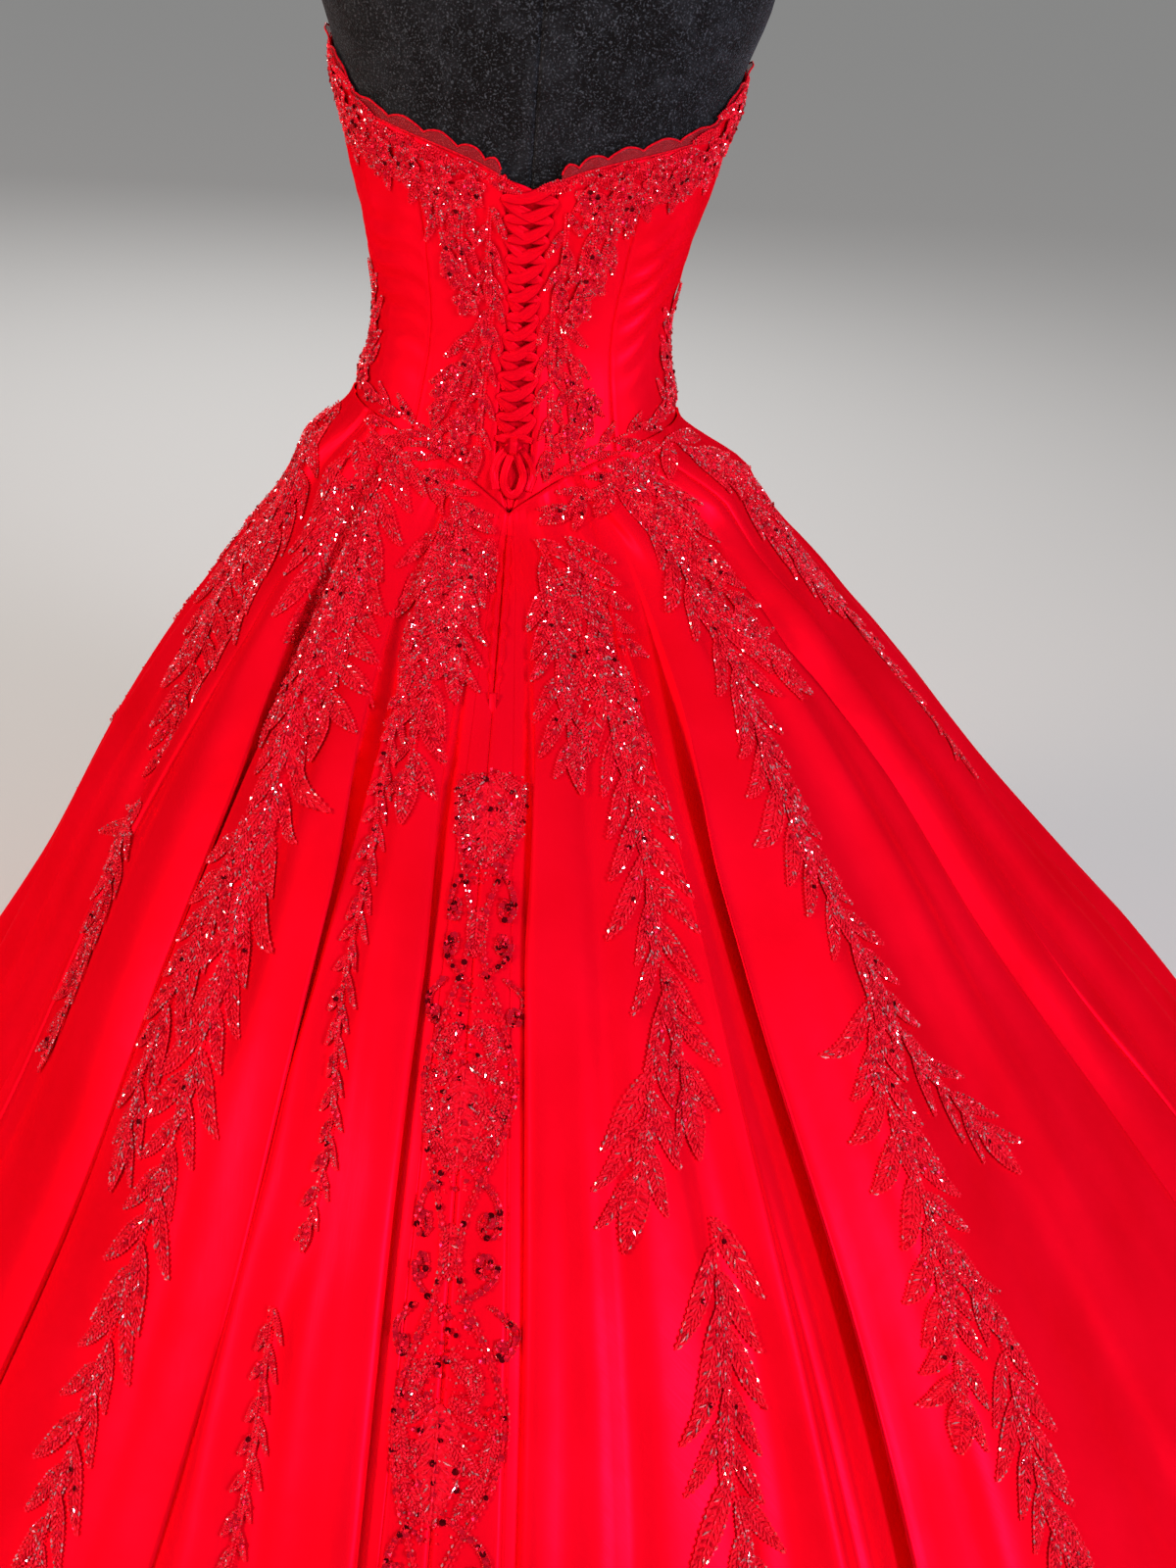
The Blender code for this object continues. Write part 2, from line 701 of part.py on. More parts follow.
def make_dress_form():
    """Padded torso under black velvet, with a flat neck cap and underside."""
    column = body_columns()
    bodice = bodice_heights(column)
    shoulder = 1.345
    rings = [np.full(len(column), h) for h in (1.530, 1.490, 1.458, 1.436, 1.412, 1.380, shoulder)]
    rings += [shoulder + (bodice[0] - shoulder) * share for share in (1 / 3, 2 / 3)]
    rings += list(bodice)
    rings += [np.full(len(column), h) for h in (0.890, 0.845, 0.800)]
    points = [body_point(body_angle(column, heights), heights, 0.0) for heights in rings]
    closed_rings("dress_form_torso", np.array(points), velvet())


def disc_rings(*profile):
    turn = np.linspace(0, 2 * math.pi, ROUND_SIDES, endpoint=False)
    return np.array([
        np.stack([radius * np.cos(turn), radius * np.sin(turn), np.full(ROUND_SIDES, height)], -1)
        for radius, height in profile
    ])


def make_stand():
    """A steel pole between the torso and a round flat base."""
    foot = BASE_THICKNESS + SEAM_GAP
    closed_rings("stand_pole", disc_rings((POLE_RADIUS, 0.800 - SEAM_GAP), (POLE_RADIUS, foot)), steel())
    profile = (
        (BASE_RADIUS - BASE_CHAMFER, BASE_THICKNESS),
        (BASE_RADIUS, BASE_THICKNESS - BASE_CHAMFER),
        (BASE_RADIUS, 0.0),
    )
    closed_rings("stand_base", disc_rings(*profile), steel())


# ---------------------------------------------------------------- the bodice


def bodice_grids():
    """Outer and inner points of the whole bodice, in columns round the body."""
    column = body_columns()
    heights = bodice_heights(column)
    angle = body_angle(column, heights)
    lapped = np.abs(column) <= 8
    lift = FORM_GAP + np.where(lapped, MODESTY_THICKNESS + 0.0005, 0.0)
    inner = body_point(angle, heights, lift + 0 * heights)
    outer = body_point(angle, heights, lift + BODICE_THICKNESS + 0 * heights)
    return column, angle, heights, outer, inner


def column_run(column, start, end):
    """Indices of the columns from start to end, going towards the wearer's left."""
    first, last = (int(np.argmin(np.abs(column - at))) for at in (start, end))
    if last <= first:
        last += len(column)
    return [i % len(column) for i in range(first, last + 1)]


def make_bodice():
    column, _, _, outer, inner = bodice_grids()
    for name, start, end in BODICE_PANELS:
        for side, run in (("left", (start, end)), ("right", (-end, -start))):
            picked = column_run(column, *run)
            wall(f"{name}_{side}", *trimmed(outer[:, picked], inner[:, picked]), satin())
    picked = column_run(column, 146, -146)
    wall("bodice_front", *trimmed(outer[:, picked], inner[:, picked]), satin())


def make_modesty_panel():
    """Plain panel behind the lacing; its sides lie under the bodice's back edges."""
    column = body_columns()
    picked = column_run(column, -8, 8)
    heights = bodice_heights(column)[:, picked]
    angle = body_angle(column[picked], heights)
    outer = body_point(angle, heights, FORM_GAP + MODESTY_THICKNESS)
    wall("modesty_panel", outer, body_point(angle, heights, FORM_GAP), satin())


def make_net_edging():
    """Fine net standing above the satin edge, its top cut in scallops and corded."""
    column = body_columns()
    picked = column_run(column, EDGE_COLUMN, -EDGE_COLUMN)
    coarse = np.arange(len(picked))
    fine = np.arange(0, len(picked) - 0.75, 0.5)
    edge = bodice_heights(column)[0, picked]
    turned = np.unwrap(np.radians(body_angle(column[picked], edge))) * 180 / math.pi
    low = np.interp(fine, coarse, edge) + SEAM_GAP
    dip = np.array([SCALLOP_DIP if i % 3 == 0 else 0.0 for i in range(len(fine))])
    heights = np.array([low + NET_RISE - dip, low])
    angle = (np.interp(fine, coarse, turned) + 0 * heights + 180) % 360 - 180
    lift = bodice_outset(angle) - NET_THICKNESS
    inner = body_point(angle, heights, lift)
    wall("net_edging", body_point(angle, heights, lift + NET_THICKNESS), inner, net())


def opening_edge(height):
    """The opening's half width, straight between the bodice's own rows."""
    rows = bodice_heights(np.array([EDGE_COLUMN]))[::-1, 0]
    return np.interp(height, rows, smooth_curve(rows, OPENING["height"], OPENING["half_width"]))


def back_point(x, height, out):
    """A point over the back by its distance from the centre line, straight between the bodice's rows."""
    rows = bodice_heights(np.array([EDGE_COLUMN]))[:, 0]
    x, height, out = np.broadcast_arrays(np.asarray(x, float), height, out)
    above = np.clip(np.searchsorted(-rows, -height) - 1, 0, len(rows) - 2)
    share = (rows[above] - height) / (rows[above] - rows[above + 1])
    ends = []
    for level in (rows[above], rows[above + 1]):
        side = smooth_curve(level, FORM["height"], FORM["side"])
        ends.append(body_point(np.degrees(np.arcsin(x / side)), level, out)[..., 1])
    return np.stack([x, ends[0] * (1 - share) + ends[1] * share, height], -1)


def outward(height):
    """The back's own outward direction at a height."""
    ends = back_point(np.zeros(2), np.array([height - 0.01, height + 0.01]), np.zeros(2))
    rise = ends[1] - ends[0]
    facing = np.cross(np.array([-1.0, 0, 0]), rise)
    return facing / np.linalg.norm(facing)


LOOPS_LIFT = FORM_GAP + MODESTY_THICKNESS + 2.5 * SEAM_GAP
LACING_LIFT = FORM_GAP + MODESTY_THICKNESS + 0.0005 + BODICE_THICKNESS + SEAM_GAP


def make_lacing_loops():
    """The row of small satin loops beside each edge of the opening, on its tape."""
    steps = 2 * CROSSINGS + 1
    heights = np.linspace(LACING_TOP - 0.004, LACING_BOTTOM, steps)
    reach = np.array([0.0042 if i % 2 == 0 else 0.0022 for i in range(steps)])
    for side, sign in (("left", 1), ("right", -1)):
        edge = opening_edge(heights) - 0.0008
        near, far = sign * edge, sign * (edge - reach)
        low = np.stack([back_point(near, heights, LOOPS_LIFT), back_point(far, heights, LOOPS_LIFT)], 1)
        top_lift = LOOPS_LIFT + 0.0016
        high = np.stack([back_point(near, heights, top_lift), back_point(far, heights, top_lift)], 1)
        wall(f"lacing_loops_{side}", high, low, satin())


def make_lacing():
    """Two strands of satin ribbon, crossing down the back from loop to loop."""
    heights = np.linspace(LACING_TOP, LACING_BOTTOM, CROSSINGS + 1)
    edge = opening_edge(heights) + 0.001
    for name, start, layer in (("ribbon_under", 1, 0), ("ribbon_over", -1, 1)):
        sign = start * np.where(np.arange(CROSSINGS + 1) % 2 == 0, 1.0, -1.0)
        lift = LACING_LIFT + layer * (RIBBON_THICKNESS + SEAM_GAP)
        path = back_point(sign * edge, heights, lift)
        facing = np.array([outward(h) for h in heights])
        run = np.diff(path, axis=0)
        run /= np.linalg.norm(run, axis=-1, keepdims=True)
        before = np.concatenate([run[:1], run])
        after = np.concatenate([run, run[-1:]])
        sideways = np.cross(facing, before + after)
        sideways /= np.linalg.norm(sideways, axis=-1, keepdims=True)
        square = np.cross(facing, after)
        stretch = 1 / np.clip(np.sum(sideways * square, axis=-1), 0.45, 1.0)
        across = sideways * (RIBBON_WIDTH / 2 * stretch)[:, None]
        ribbon(name, path, across, facing, RIBBON_THICKNESS, satin())


def make_bow():
    """The lacing's end: a knot with one hanging loop and two short free tails."""
    over = LACING_LIFT + 2 * (RIBBON_THICKNESS + SEAM_GAP)
    knot_height, knot_half = 0.986, 0.0055
    facing = outward(knot_height)
    heights = knot_height + np.array([knot_half, 0.003, -0.003, -knot_half])
    path = back_point(np.zeros(4), heights, over)
    across = np.array([[w, 0.0, 0.0] for w in (0.0045, 0.0075, 0.0075, 0.0045)])
    ribbon("ribbon_knot", path, across, [facing] * 4, 0.0042, satin())

    loop_x = np.array([-0.0022, -0.0078, -0.0096, -0.0058, 0.0002, 0.0052, 0.0052, 0.0018])
    below = knot_height - knot_half
    loop_z = below - np.array([0.0020, 0.0106, 0.0196, 0.0286, 0.0326, 0.0256, 0.0156, 0.0056])
    strip("ribbon_loop", loop_x, loop_z, over, 0.0050)
    tail_z = below - np.array([-0.0013, 0.010, 0.020, 0.0286])
    strip("ribbon_tail_left", np.array([0.0080, 0.0128, 0.0140, 0.0116]), tail_z, over, 0.0052)
    strip("ribbon_tail_right", np.array([-0.0077, -0.0150, -0.0172, -0.0150]), tail_z, over, 0.0050)


def strip(name, x, heights, lift, width):
    """A short run of ribbon lying over the back."""
    path = back_point(x, heights, np.full(len(x), lift))
    facing = np.array([outward(h) for h in heights])
    run = np.gradient(path, axis=0)
    across = np.cross(facing, run)
    across *= (width / 2) / np.linalg.norm(across, axis=-1, keepdims=True)
    return ribbon(name, path, across, facing, RIBBON_THICKNESS, satin())


# ---------------------------------------------------------------- the skirt


def make_skirt(outer, inner, labels):
    seam = {label: i for i, label in enumerate(labels) if label}
    count = len(labels)
    for name, start, end in SKIRT_PANELS:
        first, last = seam[start], seam[end]
        if last <= first:
            last += count
        picked = [i % count for i in range(first, last + 1)]
        wall(name, *trimmed(outer[:, picked], inner[:, picked]), satin())


def make_zip(inner, normal, labels):
    """Invisible zip behind the centre-back seam, and the bar tack's tab at its lower end."""
    centre = labels.index("centre")
    rows = slice(1, 5)
    picked = [centre - 1, centre, centre + 1]
    middle = inner[rows, centre]
    away = normal[rows, centre]
    half = np.array([0.0030, 0.0080, 0.0100, 0.0080])[:, None]
    across = inner[rows, picked[2]] - inner[rows, picked[0]]
    across /= np.linalg.norm(across, axis=-1, keepdims=True)
    top = np.stack([middle - across * half, middle, middle + across * half], 1) - away[:, None] * 0.0011
    wall("zip_tape", top, top - away[:, None] * 0.0010, satin())


def skirt_place(evens, angle, height):
    """(column, row) of a place on the skirt given by its angle and height."""
    share = 1 - height / (float(waist_seam(np.array(angle))) + SEAM_LAP)
    row = float(np.interp(share, SKIRT_ROWS, np.arange(len(SKIRT_ROWS))))
    r = min(int(row), len(SKIRT_ROWS) - 2)
    level = evens[r] * (1 - row + r) + evens[r + 1] * (row - r)
    turned = angle if angle >= level[0] else angle + 360
    return float(np.interp(turned, level, np.arange(len(level)))), row


def spray_outline(evens, leaf_length, spacing, stem):
    """The outline of a stem with leaves from side to side and one at its tip, in grid places."""
    angles = np.array([p[0] for p in stem], float)
    heights = np.array([p[1] for p in stem], float)
    ends = skirt_point(angles, heights, 0.0)
    walked = np.concatenate([[0], np.cumsum(np.linalg.norm(np.diff(ends, axis=0), axis=-1))])
    count = int(walked[-1] / spacing)
    aim = math.radians(LEAF_ANGLE)

    def placed(along_stem, around, down):
        angle = float(smooth_curve(along_stem, walked, angles))
        height = float(smooth_curve(along_stem, walked, heights))
        beside = skirt_point(np.array([angle - 0.5, angle + 0.5]), height, 0.0)
        below = skirt_point(angle, np.array([height + 0.005, height - 0.005]), 0.0)
        per_degree = np.linalg.norm(beside[1] - beside[0])
        per_metre = np.linalg.norm(below[1] - below[0]) / 0.01
        return skirt_place(evens, angle + around / per_degree, height - down / per_metre)

    outline = []
    for side in (1, -1):
        edge = [placed(0.0, side * STEM_HALF_WIDTH, 0.0)]
        for k in range(1 if side > 0 else 2, count, 2):
            root = k * spacing
            length = leaf_length * (0.85 + 0.15 * math.sin(2.3 * k))
            half = length * LEAF_WIDTH_SHARE / 2
            run, rise = side * math.sin(aim), math.cos(aim)
            out, lift = side * math.cos(aim), math.sin(aim)
            edge.append(placed(root, side * STEM_HALF_WIDTH, 0.0))
            for share, belly in ((0.42, half), (1.0, 0.0), (0.5, -half)):
                edge.append(placed(root, run * length * share + out * belly, rise * length * share - lift * belly))
            edge.append(placed(root + 0.45 * spacing, side * STEM_HALF_WIDTH, 0.0))
        edge.append(placed(count * spacing, side * leaf_length * LEAF_WIDTH_SHARE / 2, 0.2 * leaf_length))
        outline += edge if side > 0 else edge[::-1]
        if side > 0:
            outline.append(placed(count * spacing, 0.0, leaf_length * 0.8))
    return outline


def make_skirt_applique(outer, normal, evens, labels):
    for name, (leaf_length, spacing, stem) in SPRAYS.items():
        outline = spray_outline(evens, leaf_length, spacing, stem)
        applique(name, outer, normal, [outline], beaded_lace())

    centre = labels.index("centre")
    outline = []
    heights = np.linspace(INSET_TOP, INSET_BOTTOM, 15)
    left, right = [], []
    for k, height in enumerate(heights):
        row = skirt_place(evens, 0.0, height)[1]
        reach = 0.93 if k % 2 == 0 else 0.62
        left.append((centre + reach, row))
        right.append((centre - reach, row))
    outline = left + right[::-1]
    applique("skirt_centre_back_beading", outer, normal, [outline], beaded_lace())


def make_bodice_applique():
    column, _, heights, outer, _ = bodice_grids()
    order = column_run(column, EDGE_COLUMN, -EDGE_COLUMN)
    grid = outer[:, order]
    whole = np.unwrap(np.radians(column[order])) * 180 / math.pi
    normal = row_normals(grid, closed=False)
    if np.sum(normal[0, 0] * grid[0, 0]) < 0:
        normal = -normal
    levels = heights[:, order]

    def place(angle, height):
        turned = angle if angle > 0 else angle + 360
        bent = body_angle(np.where(whole > 180, whole - 360, whole), np.full(len(whole), height))
        col = float(np.interp(turned, np.where(bent < 0, bent + 360, bent), np.arange(len(whole))))
        c = min(int(col), len(whole) - 2)
        level = levels[:, c] * (1 - col + c) + levels[:, c + 1] * (col - c)
        row = float(np.interp(-height, -level, np.arange(BODICE_ROWS)))
        return col, min(max(row, 0.06), BODICE_ROWS - 1.35)

    for side, sign in (("left", 1), ("right", -1)):
        top = [(angle, float(bodice_edge(angle)) - 0.003) for angle in (171, 160, 146, 130, 112, 90, 68)]
        top += [(angle, float(bodice_edge(angle)) - 0.003) for angle in (45, 30, 20, 15)]
        band = [(15, 1.180)] + list(NECK_BAND) + top
        outlines = [[place(sign * a, h) for a, h in band], [place(sign * a, h) for a, h in LACING_MOTIF]]
        applique(f"bodice_applique_{side}", grid, normal, outlines, beaded_lace())
        motif = list(SIDE_MOTIF)
        outlines = [[place(sign * a, h) for a, h in motif]]
        applique(f"hip_applique_{side}", grid, normal, outlines, beaded_lace())


for old in list(bpy.data.objects):
    bpy.data.objects.remove(old)

make_dress_form()
make_stand()
make_bodice()
make_modesty_panel()
make_net_edging()
make_lacing_loops()
make_lacing()
make_bow()
skirt_outer, skirt_inner, skirt_normal, skirt_evens, skirt_labels = skirt_grid()
make_skirt(skirt_outer, skirt_inner, skirt_labels)
make_zip(skirt_inner, skirt_normal, skirt_labels)
make_skirt_applique(skirt_outer, skirt_normal, skirt_evens, skirt_labels)
make_bodice_applique()
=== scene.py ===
"""Strapless red satin ball gown with a laced back and beaded leaf sprays, on a velvet dress form.

Metres, +Z up. The gown's front faces -Y, its train runs towards +Y and +X is the wearer's left.
Angles go round the gown from the centre back, in degrees, positive towards the wearer's left.
"""

import math

import bpy
import numpy as np
from mathutils import Matrix


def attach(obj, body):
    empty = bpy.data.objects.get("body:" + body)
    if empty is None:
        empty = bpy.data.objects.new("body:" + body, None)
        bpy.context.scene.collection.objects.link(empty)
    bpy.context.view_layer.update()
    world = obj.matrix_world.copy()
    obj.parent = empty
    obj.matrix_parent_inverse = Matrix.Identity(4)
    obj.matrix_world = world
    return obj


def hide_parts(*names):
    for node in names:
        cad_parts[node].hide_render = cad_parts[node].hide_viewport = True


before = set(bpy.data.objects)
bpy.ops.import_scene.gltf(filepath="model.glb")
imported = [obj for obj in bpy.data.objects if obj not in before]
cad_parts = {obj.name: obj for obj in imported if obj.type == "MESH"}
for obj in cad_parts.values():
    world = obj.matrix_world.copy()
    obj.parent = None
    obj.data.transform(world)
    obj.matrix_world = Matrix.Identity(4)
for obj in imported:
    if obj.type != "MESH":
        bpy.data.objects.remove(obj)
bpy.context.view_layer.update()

# ---------------------------------------------------------------- studio
# A pale matt floor under an even ceiling light, with two soft lamps on the gown's back and one in
# front of it. The camera stands behind the gown, looks down on it and is held slightly askew.


def linear(code):
    """An sRGB hex colour as linear RGBA."""
    shares = [int(code[i : i + 2], 16) / 255 for i in (1, 3, 5)]
    return tuple(s / 12.92 if s <= 0.04045 else ((s + 0.055) / 1.055) ** 2.4 for s in shares) + (1.0,)


def add_node(tree, kind, settings=(), links=()):
    """Adds one node, with its settings, a ramp's stops among them, and what feeds its sockets."""
    node = tree.nodes.new(kind)
    for name, value in dict(settings).items():
        if name == "stops":
            for stop, (place, colour) in zip(node.color_ramp.elements, value):
                stop.position, stop.color = place, linear(colour)
        elif isinstance(name, int) or name in node.inputs:
            node.inputs[name].default_value = value
        else:
            setattr(node, name, value)
    for name, source in dict(links).items():
        tree.links.new(source, node.inputs[name])
    return node


def new_material(name, **sockets):
    """A Principled material with its own sockets set, and its node tree."""
    made = bpy.data.materials.new(name)
    made.use_nodes = True
    shader = made.node_tree.nodes["Principled BSDF"]
    for socket, value in sockets.items():
        shader.inputs[socket.replace("_", " ")].default_value = value
    return made, made.node_tree


def feed_shader(tree, **sources):
    """Links what feeds the sockets of a material's own shader."""
    shader = tree.nodes["Principled BSDF"]
    for socket, source in sources.items():
        tree.links.new(source, shader.inputs[socket.replace("_", " ")])


def unit(vector):
    """Vectors that point the same way and are one metre long."""
    return vector / (np.linalg.norm(vector, axis=-1, keepdims=True) + 1e-12)


def put_up(name, data, axes, place):
    """Puts a camera or a lamp in the studio by its own x, y and z axes and its place."""
    made = bpy.data.objects.new(name, data)
    rows = [[*(axis[i] for axis in axes), place[i]] for i in range(3)]
    made.matrix_world = Matrix(rows + [[0, 0, 0, 1]])
    bpy.context.scene.collection.objects.link(made)
    return made


CAMERA_PLACE = (-0.004, 1.490, 1.470)
CAMERA_YAW, CAMERA_PITCH, CAMERA_ROLL = 3.46, 29.74, 5.62
CAMERA_LENS, CAMERA_FILM, CAMERA_REACH = 40.5, 36.0, 200.0
yaw, pitch, roll = (math.radians(a) for a in (CAMERA_YAW, CAMERA_PITCH, CAMERA_ROLL))
ahead = np.array([-math.sin(yaw) * math.cos(pitch), -math.cos(yaw) * math.cos(pitch), -math.sin(pitch)])
across = unit(np.cross(ahead, [0, 0, 1]))
above = np.cross(across, ahead)
right = across * math.cos(roll) + above * math.sin(roll)
upward = above * math.cos(roll) - across * math.sin(roll)
camera = put_up("camera", bpy.data.cameras.new("camera"), (right, upward, -ahead), CAMERA_PLACE)
camera.data.lens = CAMERA_LENS
camera.data.sensor_width = CAMERA_FILM
camera.data.clip_end = CAMERA_REACH
bpy.context.scene.camera = camera
bpy.context.scene.view_settings.view_transform = "Standard"

LAMP_TARGET = (0.0, 0.3, 0.8)
# Each lamp's name, place, width, power and colour.
SOFTBOXES = (
    ("lamp_left", (2.9, 2.1, 2.4), 1.1, 98.0, "#FFDCC0"),
    ("lamp_right", (-2.6, 2.9, 2.2), 1.1, 120.0, "#F6F0FF"),
    ("lamp_front", (0.6, -3.6, 3.2), 2.4, 76.0, "#FFFFFF"),
)
for name, place, width, power, colour in SOFTBOXES:
    lamp = bpy.data.lights.new(name, "AREA")
    lamp.size = width
    lamp.energy = power
    lamp.color = linear(colour)[:3]
    away = unit(np.array(place) - LAMP_TARGET)
    beside = unit(np.cross([0.1, 0, 1], away))
    put_up(name, lamp, (beside, np.cross(away, beside), away), place)

CEILING_LIGHT, CEILING_SPREAD = 0.80, 120
AIR_COLOUR, AIR_LIGHT = "#DCDDE0", 0.16
ceiling = bpy.data.lights.new("ceiling_light", "SUN")
ceiling.energy = CEILING_LIGHT
ceiling.angle = math.radians(CEILING_SPREAD)
put_up("ceiling_light", ceiling, np.eye(3), (0, 0, 0))
world = bpy.data.worlds.new("studio_air")
world.use_nodes = True
world.node_tree.nodes["Background"].inputs["Color"].default_value = linear(AIR_COLOUR)
world.node_tree.nodes["Background"].inputs["Strength"].default_value = AIR_LIGHT
bpy.context.scene.world = world

FLOOR_REACH, FLOOR_DROP = 40.0, 0.0005
ways = ((-1, -1), (1, -1), (1, 1), (-1, 1))
corners = [(x * FLOOR_REACH, y * FLOOR_REACH, -FLOOR_DROP) for x, y in ways]
floor_paint = new_material("matt_floor_paint", Base_Color=linear("#D2D2D0"), Roughness=0.85)[0]
floor_mesh = bpy.data.meshes.new("floor")
floor_mesh.from_pydata(corners, [], [(0, 1, 2, 3)])
floor_mesh.materials.append(floor_paint)
floor = bpy.data.objects.new("floor", floor_mesh)
bpy.context.scene.collection.objects.link(floor)

# ---------------------------------------------------------------- dress form torso
# A padded torso with no head or limbs, covered in black plush velvet cut in panels. They are sewn
# together down the centre front, the centre back and the sides, and the neck ends in a flat cap.


def columns(names, *rows):
    """A short table as one array for each named column."""
    return {name: np.array(values) for name, values in zip(names, zip(*rows))}


FORM = columns(
    ("height", "side", "front", "back"),
    (1.530, 0.050, 0.053, 0.048),
    (1.460, 0.060, 0.058, 0.060),
    (1.432, 0.118, 0.068, 0.078),
    (1.400, 0.176, 0.082, 0.094),
    (1.340, 0.180, 0.108, 0.106),
    (1.270, 0.161, 0.122, 0.105),
    (1.200, 0.147, 0.112, 0.092),
    (1.130, 0.130, 0.092, 0.077),
    (1.070, 0.120, 0.082, 0.070),
    (1.000, 0.133, 0.095, 0.083),
    (0.970, 0.144, 0.103, 0.092),
    (0.930, 0.158, 0.112, 0.104),
    (0.880, 0.166, 0.117, 0.116),
    (0.800, 0.162, 0.110, 0.112),
)
CUP_RISE, CUP_ANGLE, CUP_HEIGHT = 0.012, 152.0, 1.225
CUP_WIDTH, CUP_SPREAD = 17, 0.045


def smooth_curve(at, knots, values):
    """A curve through the table's values that never overshoots them."""
    order = np.argsort(knots)
    x, y = np.asarray(knots, float)[order], np.asarray(values, float)[order]
    step = np.diff(x)
    slope = np.diff(y) / step
    tangent = np.concatenate([slope[:1], np.zeros(len(slope) - 1), slope[-1:]])
    same_way = slope[:-1] * slope[1:] > 0
    total = np.where(same_way, slope[:-1] + slope[1:], 1.0)
    tangent[1:-1] = np.where(same_way, 2 * slope[:-1] * slope[1:] / total, 0.0)
    at = np.clip(at, x[0], x[-1])
    i = np.clip(np.searchsorted(x, at) - 1, 0, len(step) - 1)
    t = (at - x[i]) / step[i]
    return (
        y[i] * (2 * t**3 - 3 * t**2 + 1)
        + tangent[i] * step[i] * (t**3 - 2 * t**2 + t)
        + y[i + 1] * (3 * t**2 - 2 * t**3)
        + tangent[i + 1] * step[i] * (t**3 - t**2)
    )


def at_height(table, name, height):
    """One column of a table of sections, read at a height."""
    return smooth_curve(height, table["height"], table[name])


def smoothstep(t):
    """A soft step from 0 to 1."""
    t = np.clip(t, 0.0, 1.0)
    return t * t * (3 - 2 * t)


def bump(distance, half_width):
    """A soft hump, 1 in its middle."""
    return np.exp(-((distance / half_width) ** 2))


def wrapped(angle):
    """Angles brought between -180 and 180 degrees."""
    return (angle + 180) % 360 - 180


def section_point(side, front, back, angle, height, out):
    """A point of an oval section, moved out along its normal."""
    turn = np.radians(angle)
    sine, cosine = np.sin(turn), np.cos(turn)
    depth = np.where(cosine > 0, back, front)
    normal = unit(np.stack([sine / side, cosine / depth], -1))
    flat = np.stack([side * sine, depth * cosine], -1) + normal * np.asarray(out)[..., None]
    return np.concatenate([flat, (height + 0 * side)[..., None]], -1)


def body_point(angle, height, out):
    """The dress form's surface, moved out."""
    angle, height, out = np.broadcast_arrays(np.asarray(angle, float), height, out)
    side, front, back = (at_height(FORM, name, height) for name in ("side", "front", "back"))
    cup = bump(np.abs(angle) - CUP_ANGLE, CUP_WIDTH) * bump(height - CUP_HEIGHT, CUP_SPREAD)
    return section_point(side, front, back, angle, height, out + CUP_RISE * cup)


def mesh_piece(name, points, faces, finishes, smooth=True, picks=None, uv=None):
    """One mesh object; picks says which finish each face has, uv gives each point's place on the cloth."""
    mesh = bpy.data.meshes.new(name)
    face_list = faces if isinstance(faces, list) else faces.tolist()
    mesh.from_pydata(np.asarray(points, float).tolist(), [], face_list)
    for finish in finishes:
        mesh.materials.append(finish)
    if picks is not None:
        mesh.polygons.foreach_set("material_index", np.asarray(picks, np.int32))
    mesh.polygons.foreach_set("use_smooth", np.full(len(mesh.polygons), smooth))
    if uv is not None:
        corner = np.zeros(len(mesh.loops), np.int32)
        mesh.loops.foreach_get("vertex_index", corner)
        mesh.uv_layers.new(name="cloth").data.foreach_set("uv", np.asarray(uv, np.float32)[corner].ravel())
    mesh.update()
    piece = bpy.data.objects.new(name, mesh)
    bpy.context.scene.collection.objects.link(piece)
    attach(piece, "root")
    return piece


def ring_faces(rows, around):
    """Four-sided faces between closed rings of points."""
    index = np.arange(rows * around).reshape(rows, around)
    after = np.roll(index, -1, axis=1)
    return np.stack([index[:-1], after[:-1], after[1:], index[1:]], -1).reshape(-1, 4)


def per_metre(millimetres):
    """How often a pattern of this size comes in a metre, which is its scale."""
    return 1000 / millimetres


def plush_velvet():
    """Black cotton velvet: the pile swallows light face on; the grey where it is brushed aside is painted
    sheen, with painted grey glints on the pile.
    """
    made, tree = new_material(
        "plush_velvet_woven", Roughness=0.92, Sheen_Weight=0.45, Sheen_Roughness=0.35,
        Sheen_Tint=linear("#8E96A0"), Specular_IOR_Level=0.15,
    )
    place = add_node(tree, "ShaderNodeTexCoord").outputs["Object"]
    # Patches about 29 mm wide are brushed one way and painted grey as sheen; the pile of 0.5 mm is drawn as
    # tufts of 1.6 mm.
    patches = {"Scale": per_metre(29.41), "Detail": 12.0, "Roughness": 0.78, "Distortion": 0.5}
    brushed = add_node(tree, "ShaderNodeTexNoise", patches, {"Vector": place})
    # Painted sheen: the brushed patches are painted grey, the rest near black.
    shade = add_node(
        tree, "ShaderNodeValToRGB", {"stops": ((0.46, "#060607"), (0.80, "#2C3035"))},
        {"Fac": brushed.outputs["Fac"]},
    )
    pile = add_node(
        tree, "ShaderNodeTexNoise", {"Scale": per_metre(1.613), "Detail": 3.0}, {"Vector": place}
    )
    # Painted glints: the ends of the pile are painted pale grey in specks.
    painted_tip_glints = add_node(
        tree, "ShaderNodeMapRange", {"From Min": 0.54, "From Max": 0.76}, {"Value": pile.outputs["Fac"]}
    )
    painted_sheen_colour = add_node(
        tree, "ShaderNodeMix", {"data_type": "RGBA", 7: linear("#50575E")},
        {0: painted_tip_glints.outputs["Result"], 6: shade.outputs["Color"]},
    )
    nap = add_node(
        tree, "ShaderNodeBump", {"Strength": 0.7, "Distance": 0.0012}, {"Height": pile.outputs["Fac"]}
    )
    lean = add_node(
        tree, "ShaderNodeBump", {"Strength": 0.6, "Distance": 0.004},
        {"Height": brushed.outputs["Fac"], "Normal": nap.outputs["Normal"]},
    )
    feed_shader(tree, Base_Color=painted_sheen_colour.outputs[2], Normal=lean.outputs["Normal"])
    return made


